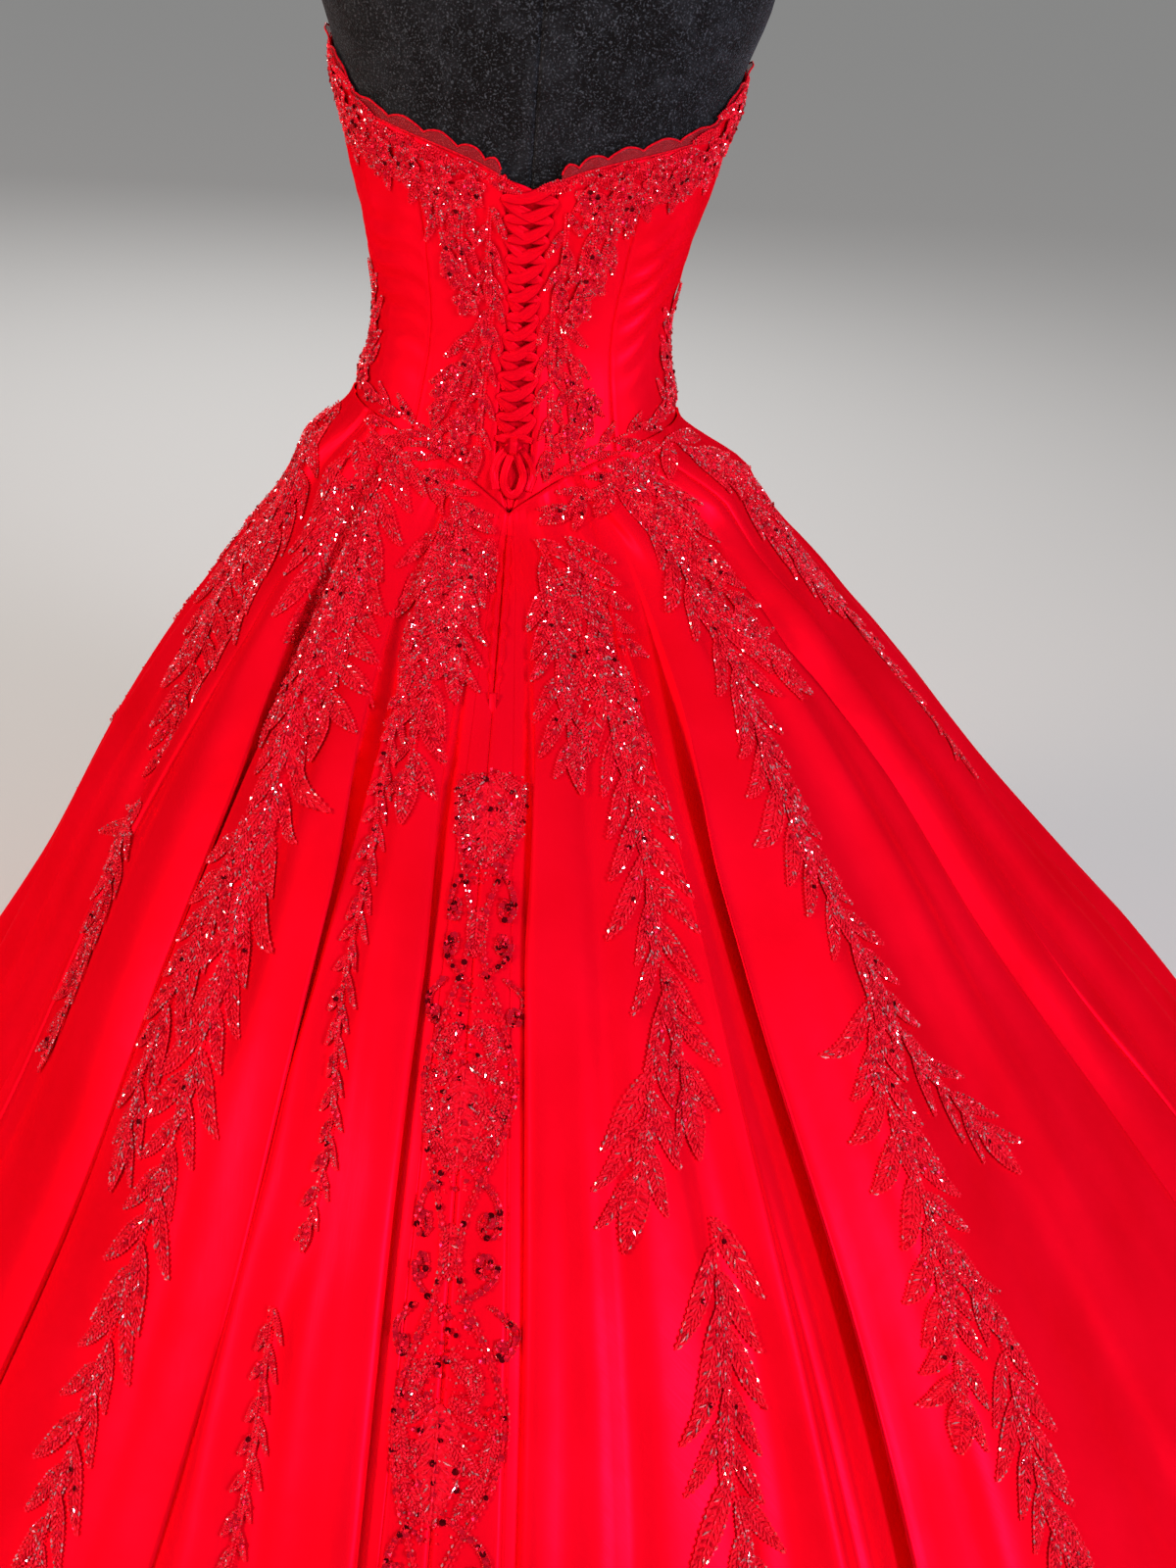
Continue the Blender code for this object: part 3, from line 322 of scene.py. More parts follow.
FORM_SEAMS, SEAM_SPREAD = (-180, -90, 0, 90), (-1.4, -0.7, -0.3, 0.3, 0.7, 1.4)
FORM_SEAM_DEPTH, FORM_SEAM_WIDTH = 0.0022, 0.45
NECK_ROUNDING, NECK_EDGE = 0.004, 0.006
NECK_TOP, NECK_ROOT, SHOULDER, FORM_FOOT = 1.530, 1.436, 1.432, 0.800
neck_height, body_height = np.linspace(NECK_TOP, NECK_ROOT, 14), np.linspace(SHOULDER, FORM_FOOT, 52)
torso_height = np.concatenate([neck_height, body_height])
beside_seams = [a + d for a in FORM_SEAMS for d in SEAM_SPREAD]
torso_angle = np.sort(np.concatenate([np.linspace(-180, 180, 120, endpoint=False), beside_seams]))
height, angle = np.meshgrid(torso_height, torso_angle, indexing="ij")
dent = FORM_SEAM_DEPTH * sum(bump(wrapped(angle - a), FORM_SEAM_WIDTH) for a in FORM_SEAMS)
rounding = NECK_ROUNDING * np.clip((height - NECK_TOP + NECK_EDGE) / NECK_EDGE, 0, 1) ** 2
torso = body_point(angle, height, -dent - rounding)
torso_points = np.concatenate([torso.reshape(-1, 3), [torso[0].mean(axis=0), torso[-1].mean(axis=0)]])
rows, around = height.shape
neck_middle, last_ring = rows * around, (rows - 1) * around
torso_faces = ring_faces(rows, around)[:, ::-1].tolist()
torso_faces += [(neck_middle, (c + 1) % around, c) for c in range(around)]
torso_faces += [(neck_middle + 1, last_ring + c, last_ring + (c + 1) % around) for c in range(around)]
form_torso = mesh_piece("form_torso", torso_points, torso_faces, [plush_velvet()])
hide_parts("dress_form_torso")

# ---------------------------------------------------------------- stand
# A drawn steel tube carries the torso; it is screwed into a turned, weighted steel disc with a
# softened rim. Both are brushed and lacquered.

POLE_RADIUS, BASE_RADIUS, BASE_THICKNESS = 0.016, 0.190, 0.018
MIDDLE = 0.0005        # a turned outline starts this near to its axis
POLE_TOP, POLE_FOOT = 0.799, 0.030


def brushed_steel():
    """Brushed mild steel under lacquer: fine turned lines spread the highlights sideways."""
    made, tree = new_material(
        "lacquered_brushed_steel", Base_Color=linear("#8D8E90"), Metallic=1.0, Roughness=0.34
    )
    place = add_node(tree, "ShaderNodeTexCoord")
    # Grit lines of 0.1 mm are drawn 1.1 mm wide and 33 mm long, so that they show at all.
    stretch = add_node(
        tree, "ShaderNodeMapping", {"Scale": (per_metre(33.33), per_metre(33.33), per_metre(1.111))},
        {"Vector": place.outputs["Object"]},
    )
    lines = add_node(
        tree, "ShaderNodeTexNoise", {"Scale": 1.0, "Detail": 2.0}, {"Vector": stretch.outputs[0]}
    )
    groove = add_node(
        tree, "ShaderNodeBump", {"Strength": 0.25, "Distance": 0.0002}, {"Height": lines.outputs["Fac"]}
    )
    feed_shader(tree, Normal=groove.outputs["Normal"])
    return made


def turned(name, outline, finish, around=96):
    """A turned piece from (radius, height) points, from its top middle to its underside middle."""
    turn = np.linspace(0, 2 * math.pi, around, endpoint=False)
    rings = np.array([[(r * math.cos(a), r * math.sin(a), z) for a in turn] for r, z in outline])
    return mesh_piece(name, rings.reshape(-1, 3), ring_faces(len(outline), around)[:, ::-1], [finish])


steel = brushed_steel()
pole_outline = (
    (MIDDLE, POLE_TOP), (0.014, POLE_TOP), (POLE_RADIUS, POLE_TOP - 0.002), (POLE_RADIUS, POLE_FOOT),
    (MIDDLE, POLE_FOOT),
)
stand_pole = turned("stand_tube", pole_outline, steel)
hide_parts("stand_pole")
# The socket for the pole, the flat top and the softened rim.
base_outline = (
    (MIDDLE, POLE_FOOT), (0.022, POLE_FOOT), (0.024, 0.028), (0.024, 0.019), (0.026, BASE_THICKNESS),
    (0.184, BASE_THICKNESS), (0.188, 0.0168), (BASE_RADIUS, 0.014), (BASE_RADIUS, 0.001), (0.189, 0.0),
    (MIDDLE, 0.0),
)
stand_base = turned("stand_disc", base_outline, steel)
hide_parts("stand_base")

# ---------------------------------------------------------------- bodice
# Seven boned panels of heavy duchess satin with a basque waist. They are machine sewn along the
# princess, side and front seams, and the two back edges lap over a plain modesty panel.

BASQUE_POINT, SIDE_WAIST, BASQUE_SPREAD = 0.930, 0.996, 30.0
SEAM_GAP, FORM_GAP = 0.0003, 0.0010
MODESTY_THICKNESS, BODICE_THICKNESS = 0.0015, 0.0025
MODESTY_LAP = MODESTY_THICKNESS + 0.0005
EDGE_COLUMN, PRINCESS_COLUMN = 5.5, 37.0
COLUMN_WIDTH, COLUMN_STEP, BODICE_ROWS = 0.0021, 1.7, 62
BONES = (10.5, 22.0, 63.0, 118.0, 163.0)
SEAM_DENT, SEAM_SWELL, BONE_RISE, EDGE_ROUNDING = 0.0012, 0.00035, 0.00045, 0.0007
DRAG_RISE, DRAG_HEIGHT, DRAGS_PER_METRE = 0.0030, 1.105, 44
BODICE_EDGE = columns(
    ("angle", "height"),
    (0.0, 1.183), (9.4, 1.199), (20.0, 1.209), (30.0, 1.216), (45.0, 1.224), (58.0, 1.231),
    (68.0, 1.247), (78.0, 1.263), (90.0, 1.272), (112.0, 1.280), (130.0, 1.296), (146.0, 1.302),
    (160.0, 1.286), (172.0, 1.258), (180.0, 1.246),
)
OPENING = columns(
    ("height", "half_width"),
    (1.205, 0.0240), (1.160, 0.0160), (1.120, 0.0120), (1.090, 0.0105), (1.050, 0.0135),
    (0.985, 0.0140), (0.955, 0.0080), (0.930, 0.0008),
)
# Each panel's name, first and last column, flat width and length, and the area that it leaves.
BODICE_PANELS = (
    ("bodice_back_left", EDGE_COLUMN, PRINCESS_COLUMN, (0.12, 0.29), 0.018),
    ("bodice_back_right", -PRINCESS_COLUMN, -EDGE_COLUMN, (0.12, 0.29), 0.018),
    ("bodice_side_back_left", PRINCESS_COLUMN, 90.0, (0.13, 0.30), 0.0243),
    ("bodice_side_back_right", -90.0, -PRINCESS_COLUMN, (0.13, 0.30), 0.0243),
    ("bodice_side_front_left", 90.0, 146.0, (0.15, 0.33), 0.035),
    ("bodice_side_front_right", -146.0, -90.0, (0.15, 0.33), 0.035),
    ("bodice_front", 146.0, 214.0, (0.21, 0.37), 0.0546),
)


def waist_seam(angle):
    """Height of the basque seam: a point at the back and the front, high at the sides."""
    from_point = np.minimum(np.abs(angle), 180 - np.abs(angle))
    return BASQUE_POINT + (SIDE_WAIST - BASQUE_POINT) * (1 - np.exp(-from_point / BASQUE_SPREAD))


def bodice_edge(angle):
    """Height of the satin's top edge."""
    return smooth_curve(np.abs(angle), BODICE_EDGE["angle"], BODICE_EDGE["height"])


def body_angle(column, height):
    """The panels' columns bend so that one of them follows the lacing opening's edge."""
    column = wrapped(np.asarray(column, float))
    edge = np.degrees(np.arcsin(at_height(OPENING, "half_width", height) / at_height(FORM, "side", height)))
    size = np.abs(column)
    within = size * edge / EDGE_COLUMN
    beyond = edge + (size - EDGE_COLUMN) * (PRINCESS_COLUMN - edge) / (PRINCESS_COLUMN - EDGE_COLUMN)
    bent = np.where(size <= EDGE_COLUMN, within, np.where(size <= PRINCESS_COLUMN, beyond, size))
    return np.sign(column) * bent


def panel_ends(column):
    """Heights of the top edge and of the waist seam along the panels' columns."""
    top = bodice_edge(body_angle(column, bodice_edge(wrapped(column))))
    return top, waist_seam(body_angle(column, waist_seam(wrapped(column))))


def modesty_lap(column):
    """How far the back edges stand off where they lap over the modesty panel."""
    return np.interp(np.abs(wrapped(column)), (8, 13), (MODESTY_LAP, 0.0))


def cloth_place(column, below_edge):
    """Each point's place on the bodice's cloth: across its columns, and down from its top edge."""
    return np.stack(np.broadcast_arrays(column * COLUMN_WIDTH, below_edge), -1)


def grid_faces(rows, cols):
    """Four-sided faces of an open grid of points."""
    index = np.arange(rows * cols).reshape(rows, cols)
    return np.stack([index[:-1, :-1], index[:-1, 1:], index[1:, 1:], index[1:, :-1]], -1).reshape(-1, 4)


def shell(name, outer, inner, finish, uv=None):
    """A thin sheet between two grids of points, closed round its edge."""
    rows, cols = outer.shape[:2]
    count = rows * cols
    index = np.arange(count).reshape(rows, cols)
    face = grid_faces(rows, cols)
    rim = np.concatenate([index[0, :-1], index[:-1, -1], index[-1, :0:-1], index[:0:-1, 0]])
    after = np.roll(rim, -1)
    edge = np.stack([after, rim, rim + count, after + count], -1)
    faces = np.concatenate([face, face[:, ::-1] + count, edge])
    points = np.concatenate([outer.reshape(-1, 3), inner.reshape(-1, 3)])
    corner = points[faces]
    volume = np.sum(corner[:, 0] * np.cross(corner[:, 1], corner[:, 2]))
    volume += np.sum(corner[:, 0] * np.cross(corner[:, 2], corner[:, 3]))
    if volume < 0:
        faces = faces[:, ::-1]
    both = None if uv is None else np.concatenate([uv.reshape(-1, 2)] * 2)
    return mesh_piece(name, points, faces, [finish], uv=both)


def duchess_satin():
    """Heavy polyester duchess satin: the dyed floats on its face tint their own broad highlight."""
    made, tree = new_material(
        "duchess_satin_woven", Roughness=0.38, Metallic=0.40, Specular_IOR_Level=0.0,
        Specular_Tint=linear("#FF1030"),
    )
    cloth = add_node(tree, "ShaderNodeUVMap", {"uv_map": "cloth"})
    # The floats are 0.2 mm wide; they are drawn 1.1 mm wide and 22 mm long, so that they show at all.
    drawn = add_node(
        tree, "ShaderNodeMapping", {"Scale": (per_metre(1.1111), per_metre(22.222), 1.0)},
        {"Vector": cloth.outputs[0]},
    )
    floats = add_node(
        tree, "ShaderNodeTexNoise", {"Scale": 1.0, "Detail": 2.0}, {"Vector": drawn.outputs[0]}
    )
    # Soft rumples come about 90 mm apart.
    place = add_node(tree, "ShaderNodeTexCoord")
    rumple = add_node(
        tree, "ShaderNodeTexNoise", {"Scale": per_metre(90.91), "Detail": 3.0, "Roughness": 0.45},
        {"Vector": place.outputs["Object"]},
    )
    dye = add_node(
        tree, "ShaderNodeValToRGB", {"stops": ((0.30, "#F0041C"), (0.72, "#FC0624"))},
        {"Fac": rumple.outputs["Fac"]},
    )
    gloss = add_node(
        tree, "ShaderNodeMapRange", {"To Min": 0.31, "To Max": 0.45}, {"Value": floats.outputs["Fac"]}
    )
    weave = add_node(
        tree, "ShaderNodeBump", {"Strength": 0.10, "Distance": 0.0004}, {"Height": floats.outputs["Fac"]}
    )
    soft = add_node(
        tree, "ShaderNodeBump", {"Strength": 0.35, "Distance": 0.006},
        {"Height": rumple.outputs["Fac"], "Normal": weave.outputs["Normal"]},
    )
    feed_shader(tree, Base_Color=dye.outputs["Color"], Roughness=gloss.outputs["Result"])
    feed_shader(tree, Normal=soft.outputs["Normal"])
    return made


def panel_columns(start, end):
    """Columns across a panel, close together beside its two seams."""
    near = np.array([0.0, 0.12, 0.28, 0.5, 0.8, 1.2, 1.8, 2.6])
    clear = 3.6
    count = max(3, int((end - start - 2 * clear) / COLUMN_STEP))
    return np.concatenate([start + near, np.linspace(start + clear, end - clear, count), end - near[::-1]])


def bodice_relief(column, angle, height, from_seam):
    """Seams pressed open, bones in their channels and the slanting drag lines above the waist."""
    size = np.abs(wrapped(column))
    relief = 0 * height - SEAM_DENT * bump(from_seam, 0.30) + SEAM_SWELL * bump(from_seam - 1.9, 0.8)
    for bone in BONES:
        relief += BONE_RISE * smoothstep(1.6 - 1.3 * np.abs(size - bone))
    slant = height * DRAGS_PER_METRE - 0.030 * size + 0.35 * np.sin(angle * 0.11)
    wave = 0.30 + 0.70 * np.sin(2 * math.pi * slant)
    beside_princess = smoothstep((size - 32) / 14) * (1 - 0.7 * smoothstep((size - 68) / 10))
    strength = bump(height - DRAG_HEIGHT, 0.055) * beside_princess * (0.75 + 0.25 * np.sin(angle * 0.23))
    relief += DRAG_RISE * wave * strength
    relief += 0.0009 * bump(height - 1.175, 0.05) * np.sin(2 * math.pi * (height * 9 + size * 0.041))
    return relief


satin = duchess_satin()
for name, start, end, cut, area in BODICE_PANELS:
    column = panel_columns(start, end)
    top, bottom = panel_ends(column)
    height = top + (bottom - top) * np.linspace(0, 1, BODICE_ROWS)[:, None]
    angle = body_angle(column, height)
    lift = FORM_GAP + modesty_lap(column)
    relief = bodice_relief(column, angle, height, np.minimum(column - start, end - column))
    relief -= EDGE_ROUNDING * bump(top - height, 0.0016)
    outer = body_point(angle, height, lift + BODICE_THICKNESS + relief)
    inner = body_point(angle, height, lift + 0.0008)
    panel = shell(name + "_satin", outer, inner, satin, cloth_place(column, top - height))
    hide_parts(name)

column = np.linspace(-8, 8, 26)
top, bottom = panel_ends(column)
height = top + (bottom - top) * np.linspace(0, 1, 54)[:, None]
angle = body_angle(column, height)
relief = 0.00022 * np.sin(column * 1.9 + 9 * np.sin(height * 23)) * smoothstep((1.17 - height) / 0.03)
outer = body_point(angle, height, FORM_GAP + MODESTY_THICKNESS - 0.0002 + relief)
inner = body_point(angle, height, FORM_GAP)
modesty = shell("modesty_panel_satin", outer, inner, satin, cloth_place(column, top - height))
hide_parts("modesty_panel")

# ---------------------------------------------------------------- net edging
# A strip of fine red net stands above the satin edge all round. Its top is cut in scallops and
# finished with a thin twisted cord, and a second cord runs along its foot.

NET_RISE, SCALLOP_DIP, NET_THICKNESS, NET_CORD_RADIUS = 0.011, 0.006, 0.0003, 0.0008
SCALLOP_COLUMNS = (5.5, 8, 13, 20, 28, 37, 46, 56, 68, 79, 90, 101, 112, 123, 134, 146, 157, 168, 180)


def repeated(faces, copies, points_each):
    """The faces of one small mesh, again for each copy of its points."""
    return (faces[None] + points_each * np.arange(copies)[:, None, None]).reshape(-1, faces.shape[1])


def tube(name, path, radius, finish, sides=6):
    """A round cord along a path, or along several of the same length."""
    path = np.asarray(path, float)
    run = unit(np.gradient(path, axis=-2))
    beside = unit(np.cross(run, np.where(np.abs(run[..., 2:]) > 0.9, [1.0, 0, 0], [0, 0, 1.0])))
    over = np.cross(beside, run)
    turn = np.linspace(0, 2 * math.pi, sides, endpoint=False)
    spread = np.asarray(radius)[..., None, None] if np.ndim(radius) else radius
    ring = beside[..., None, :] * np.cos(turn)[:, None] + over[..., None, :] * np.sin(turn)[:, None]
    points = (path[..., None, :] + ring * spread).reshape(-1, 3)
    count = path.shape[-2]
    faces = repeated(ring_faces(count, sides), len(points) // (count * sides), count * sides)
    return mesh_piece(name, points, faces, [finish])


def sheer_net():
    """Nylon tulle: holes of 1.2 mm are too fine to draw, so the cloth is evenly see-through."""
    return new_material(
        "nylon_tulle_knitted", Base_Color=linear("#B4001C"), Roughness=0.6, Alpha=0.42,
        Sheen_Weight=0.4, Sheen_Tint=linear("#FF5A5A"),
    )[0]


def rayon_cord():
    """Twisted rayon gimp cord: strands wound round a core, with a low silky gloss."""
    made, tree = new_material(
        "rayon_cord_twisted", Roughness=0.46, Specular_IOR_Level=0.35, Specular_Tint=linear("#FF2030"),
    )
    place = add_node(tree, "ShaderNodeTexCoord")
    # Strands of 0.4 mm are drawn 1.6 mm apart, so that the twist shows.
    strand = add_node(
        tree, "ShaderNodeTexNoise", {"Scale": per_metre(1.613), "Detail": 2.0},
        {"Vector": place.outputs["Object"]},
    )
    shade = add_node(
        tree, "ShaderNodeValToRGB", {"stops": ((0.35, "#B00618"), (0.65, "#F01028"))},
        {"Fac": strand.outputs["Fac"]},
    )
    twist = add_node(
        tree, "ShaderNodeBump", {"Strength": 0.6, "Distance": 0.0006}, {"Height": strand.outputs["Fac"]}
    )
    feed_shader(tree, Base_Color=shade.outputs["Color"], Normal=twist.outputs["Normal"])
    return made


net, cord = sheer_net(), rayon_cord()
knots = np.array(SCALLOP_COLUMNS + tuple(360 - c for c in SCALLOP_COLUMNS[-2::-1]), float)
place = np.linspace(0, len(knots) - 1, 500)
column = np.interp(place, np.arange(len(knots)), knots)
foot = panel_ends(column)[0]
scallop = NET_RISE - SCALLOP_DIP * (1 - np.abs(np.sin(math.pi * place / 1.5)) ** 0.8)
height = foot + SEAM_GAP + scallop * np.linspace(1, -0.12, 6)[:, None]
angle = body_angle(column, np.minimum(height, foot))
lean = 0.0006 * np.sin(column * 0.9) * np.linspace(1, 0, 6)[:, None]
lift = FORM_GAP + BODICE_THICKNESS + modesty_lap(column) + lean
net_outer = body_point(angle, height, lift)
net_inner = body_point(angle, height, lift - NET_THICKNESS)
edging = shell("net_edging_tulle", net_outer, net_inner, net, cloth_place(column, foot - height))
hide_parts("net_edging")
foot_line = body_point(angle[4], foot + 0.0004, lift[4] + 0.0003)
edge_cord = tube("net_edging_cords", np.stack([net_outer[0], foot_line]), NET_CORD_RADIUS, cord)

# ---------------------------------------------------------------- lace-up closing
# Rouleau loops of rolled satin are sewn inside both back edges. Two strands of satin ribbon cross
# through them from top to bottom and end in a knot, one hanging loop and two cut tails.

LACING_TOP, LACING_BOTTOM, CROSSINGS = 1.197, 0.990, 13
RIBBON_WIDTH, RIBBON_THICKNESS = 0.0100, 0.0004
# The ribbon's cloth spans 3.4 mm each side of its middle; its outer 1 mm on each side gets painted shade.
WEAVE_HALF_WIDTH, EDGE_SHADE_WIDTH = 0.0034, 0.0010
ROULEAU_RADIUS, LOOP_RADIUS = 0.0008, 0.0022


def back_point(x, height, lift):
    """A point over the back by its distance from the centre line."""
    x, height, lift = np.broadcast_arrays(np.asarray(x, float), height, lift)
    level = body_point(np.degrees(np.arcsin(x / at_height(FORM, "side", height))), height, lift)
    return np.stack([x, level[..., 1], height], -1)


def spline(points, each):
    """A smooth path through points, with the same number of steps in each stretch."""
    p = np.asarray(points, float)
    p = np.concatenate([2 * p[:1] - p[1:2], p, 2 * p[-1:] - p[-2:-1]])
    t = np.linspace(0, 1, each, endpoint=False)[:, None]
    made = []
    for i in range(1, len(p) - 2):
        a, b, c, d = p[i - 1 : i + 3]
        bend, turn = 2 * a - 5 * b + 4 * c - d, 3 * b - a - 3 * c + d
        made.append(0.5 * (2 * b + (c - a) * t + bend * t**2 + turn * t**3))
    return np.concatenate(made + [p[-2:-1]])


def run_along(points, axis=0):
    """Metres from the first point to each, along a path or along one side of a grid."""
    steps = np.diff(points, axis=axis, prepend=points.take([0], axis))
    return np.cumsum(np.linalg.norm(steps, axis=-1), axis=axis)


def band(name, path, half_width, twist, facing, finish, cup=0.0, pleat=0.0):
    """A ribbon along a path, twisted by an angle at each point, slightly cupped and pleated lengthways."""
    run = unit(np.gradient(path, axis=0))
    side = unit(np.cross(facing, run))
    up = np.cross(run, side)
    twist = np.broadcast_to(twist, len(path))[:, None]
    side, up = side * np.cos(twist) + up * np.sin(twist), up * np.cos(twist) - side * np.sin(twist)
    half = np.broadcast_to(half_width, len(path))
    place = np.linspace(-1, 1, 11)
    low = path[:, None] + side[:, None] * (half[:, None] * place)[..., None]
    folds = cup * (1 - place**2) + pleat * np.cos(math.pi * (2.5 * place + 0.4))
    low = low + up[:, None] * folds[None, :, None]
    uv = np.stack(np.broadcast_arrays(place * WEAVE_HALF_WIDTH, run_along(path)[:, None]), -1)
    return shell(name, low + up[:, None] * RIBBON_THICKNESS, low, finish, uv)


def ribbon_satin():
    """Narrow double-faced satin ribbon: brighter than the gown's own cloth, with painted shade darkening
    its long edges.
    """
    made, tree = new_material(
        "ribbon_satin_woven", Roughness=0.34, Metallic=0.35, Specular_IOR_Level=0.0,
        Specular_Tint=linear("#FF1030"),
    )
    cloth = add_node(tree, "ShaderNodeUVMap", {"uv_map": "cloth"})
    split = add_node(tree, "ShaderNodeSeparateXYZ", links={"Vector": cloth.outputs[0]})
    from_middle = add_node(tree, "ShaderNodeMath", {"operation": "ABSOLUTE"}, {0: split.outputs["X"]})
    # Painted shade: the ribbon darkens over the outer 1 mm of each long edge.
    edge = {"From Min": WEAVE_HALF_WIDTH - EDGE_SHADE_WIDTH, "From Max": WEAVE_HALF_WIDTH}
    painted_edge_shade = add_node(tree, "ShaderNodeMapRange", edge, {"Value": from_middle.outputs[0]})
    dye = add_node(
        tree, "ShaderNodeMix", {"data_type": "RGBA", 6: linear("#F00620"), 7: linear("#B40014")},
        {0: painted_edge_shade.outputs["Result"]},
    )
    # Ribs of 0.1 mm are drawn 0.4 mm wide and 6 mm long, so that they show close to.
    drawn = add_node(
        tree, "ShaderNodeMapping", {"Scale": (per_metre(0.3846), per_metre(6.25), 1.0)},
        {"Vector": cloth.outputs[0]},
    )
    ribs = add_node(tree, "ShaderNodeTexNoise", {"Scale": 1.0, "Detail": 1.0}, {"Vector": drawn.outputs[0]})
    rise = add_node(
        tree, "ShaderNodeBump", {"Strength": 0.3, "Distance": 0.0003}, {"Height": ribs.outputs["Fac"]}
    )
    feed_shader(tree, Base_Color=dye.outputs[2], Normal=rise.outputs["Normal"])
    return made


ribbon = ribbon_satin()
BACK_LIFT = FORM_GAP + MODESTY_LAP + BODICE_THICKNESS
ROULEAU_LIFT = FORM_GAP + MODESTY_THICKNESS + 0.0019
facing = np.array([0.0, 1.0, 0.0])
cross_height = np.linspace(LACING_TOP, LACING_BOTTOM, CROSSINGS + 1)
half_open = at_height(OPENING, "half_width", cross_height)
turn = np.linspace(-0.5, 1.5, 14) * math.pi
loop_heights = np.linspace(LACING_TOP, LACING_BOTTOM, 2 * CROSSINGS + 1)
for side, sign in (("left", 1), ("right", -1)):
    rings = []
    for height, half in zip(loop_heights, np.repeat(half_open, 2)[1:]):
        reach = sign * (half - ROULEAU_RADIUS - LOOP_RADIUS * (1 - np.sin(turn)) / 2 - 0.0004)
        rings.append(back_point(reach, height + LOOP_RADIUS * np.cos(turn), ROULEAU_LIFT))
    loops = tube(f"rouleau_loops_{side}", np.array(rings), ROULEAU_RADIUS, ribbon)
    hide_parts(f"lacing_loops_{side}")

EDGE_REACH, RIBBON_DROP = 0.0012, 0.0040
STEPS_EACH = 10
for name, start, layer in (("ribbon_under", 1, 0), ("ribbon_over", -1, 1)):
    knots = []
    for k in range(CROSSINGS + 1):
        sign = start * (1 if k % 2 == 0 else -1)
        knots.append((sign * (half_open[k] + EDGE_REACH), cross_height[k], BACK_LIFT + 0.0008))
        if k < CROSSINGS:
            middle = (cross_height[k] + cross_height[k + 1]) / 2 + 0.0009 * math.sin(3.1 * k + start)
            lift = BACK_LIFT + 0.0006 + 0.0014 * (layer if k % 2 == 0 else 1 - layer)
            knots.append((0.0008 * math.sin(5.0 * k), middle - RIBBON_DROP, lift))
    path = back_point(*spline(knots, STEPS_EACH).T)
    step = np.arange(len(path))
    along = math.pi * step / (2 * STEPS_EACH)
    at_turn = np.abs(np.cos(along))
    half_width = RIBBON_WIDTH / 2 * (1 - 0.50 * at_turn**4)
    twist = 0.55 * np.sin(along + start) * at_turn**2 + 0.18 * np.sin(step * 0.37)
    strand = band(name + "_satin", path, half_width, twist, facing, ribbon, cup=0.0003, pleat=0.0003)
    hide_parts(name)

KNOT_HEIGHT, KNOT_HALF_WIDTH, KNOT_HALF_HEIGHT, KNOT_BULGE = 0.986, 0.0078, 0.0066, 0.0036
down, round_it = np.meshgrid(np.linspace(0, math.pi, 22), np.linspace(0, 2 * math.pi, 40), indexing="ij")
pleat = 1 + 0.10 * np.sin(round_it * 3 + down * 4) * np.sin(down)
knot_x = KNOT_HALF_WIDTH * np.sin(down) * np.cos(round_it) * pleat
knot_z = KNOT_HEIGHT + KNOT_HALF_HEIGHT * np.cos(down)
knot_out = BACK_LIFT + 0.0032 + KNOT_BULGE * np.sin(down) * np.sin(round_it) * pleat
knot = mesh_piece(
    "ribbon_knot_satin", back_point(knot_x, knot_z, knot_out).reshape(-1, 3), ring_faces(22, 40), [ribbon],
    uv=np.stack([knot_x, knot_z], -1).reshape(-1, 2),
)
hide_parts("ribbon_knot")

# Half width of the ribbon, then each bend: metres to the left, height and lift in millimetres.
BOW_ENDS = {
    "ribbon_loop": (0.0037, (
        (-0.0012, 0.981, 5.4), (-0.0072, 0.970, 6.2), (-0.0098, 0.961, 6.4), (-0.0066, 0.951, 6.6),
        (0.0000, 0.948, 7.0), (0.0056, 0.955, 7.6), (0.0056, 0.966, 7.8), (0.0016, 0.979, 7.2),
    )),
    "ribbon_tail_left": (0.0040, (
        (0.0060, 0.983, 5.0), (0.0122, 0.973, 5.0), (0.0142, 0.962, 5.2), (0.0118, 0.951, 7.0),
    )),
    "ribbon_tail_right": (0.0040, (
        (-0.0060, 0.983, 5.0), (-0.0146, 0.972, 5.0), (-0.0172, 0.962, 5.2), (-0.0146, 0.951, 6.6),
    )),
}
for name, (half_width, bends) in BOW_ENDS.items():
    x, height, lift = spline(bends, 8).T
    path = back_point(x, height, FORM_GAP + lift * 0.001)
    twist = 0.5 * np.sin(np.linspace(0, 5, len(path)))
    end = band(name + "_satin", path, half_width, twist, facing, ribbon, cup=0.0005, pleat=0.0003)
    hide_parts(name)

# ---------------------------------------------------------------- skirt
# Nine gores of duchess satin, floor length with a sweep train. Deep knife pleats lean outwards
# from the box pleat at the centre back, and all are gathered into the basque waist seam.

SEAM_LAP, WAIST_BULK, FLARE_DEPTH = 0.004, 0.0034, 0.050
SKIRT_THICKNESS, WAIST_FOLD_DEPTH, FLOOR_GAP = 0.0012, 0.0016, 0.0004
SKIRT = columns(
    ("height", "left", "right", "front", "back"),
    (1.000, 0.163, 0.178, 0.125, 0.090),
    (0.930, 0.190, 0.223, 0.165, 0.128),
    (0.850, 0.242, 0.303, 0.240, 0.262),
    (0.750, 0.305, 0.402, 0.320, 0.420),
    (0.650, 0.360, 0.493, 0.390, 0.550),
    (0.500, 0.432, 0.645, 0.480, 0.700),
    (0.350, 0.520, 0.790, 0.570, 0.840),
    (0.200, 0.610, 0.920, 0.660, 0.990),
    (0.080, 0.680, 1.020, 0.715, 1.170),
    (0.000, 0.720, 1.080, 0.735, 1.420),
)
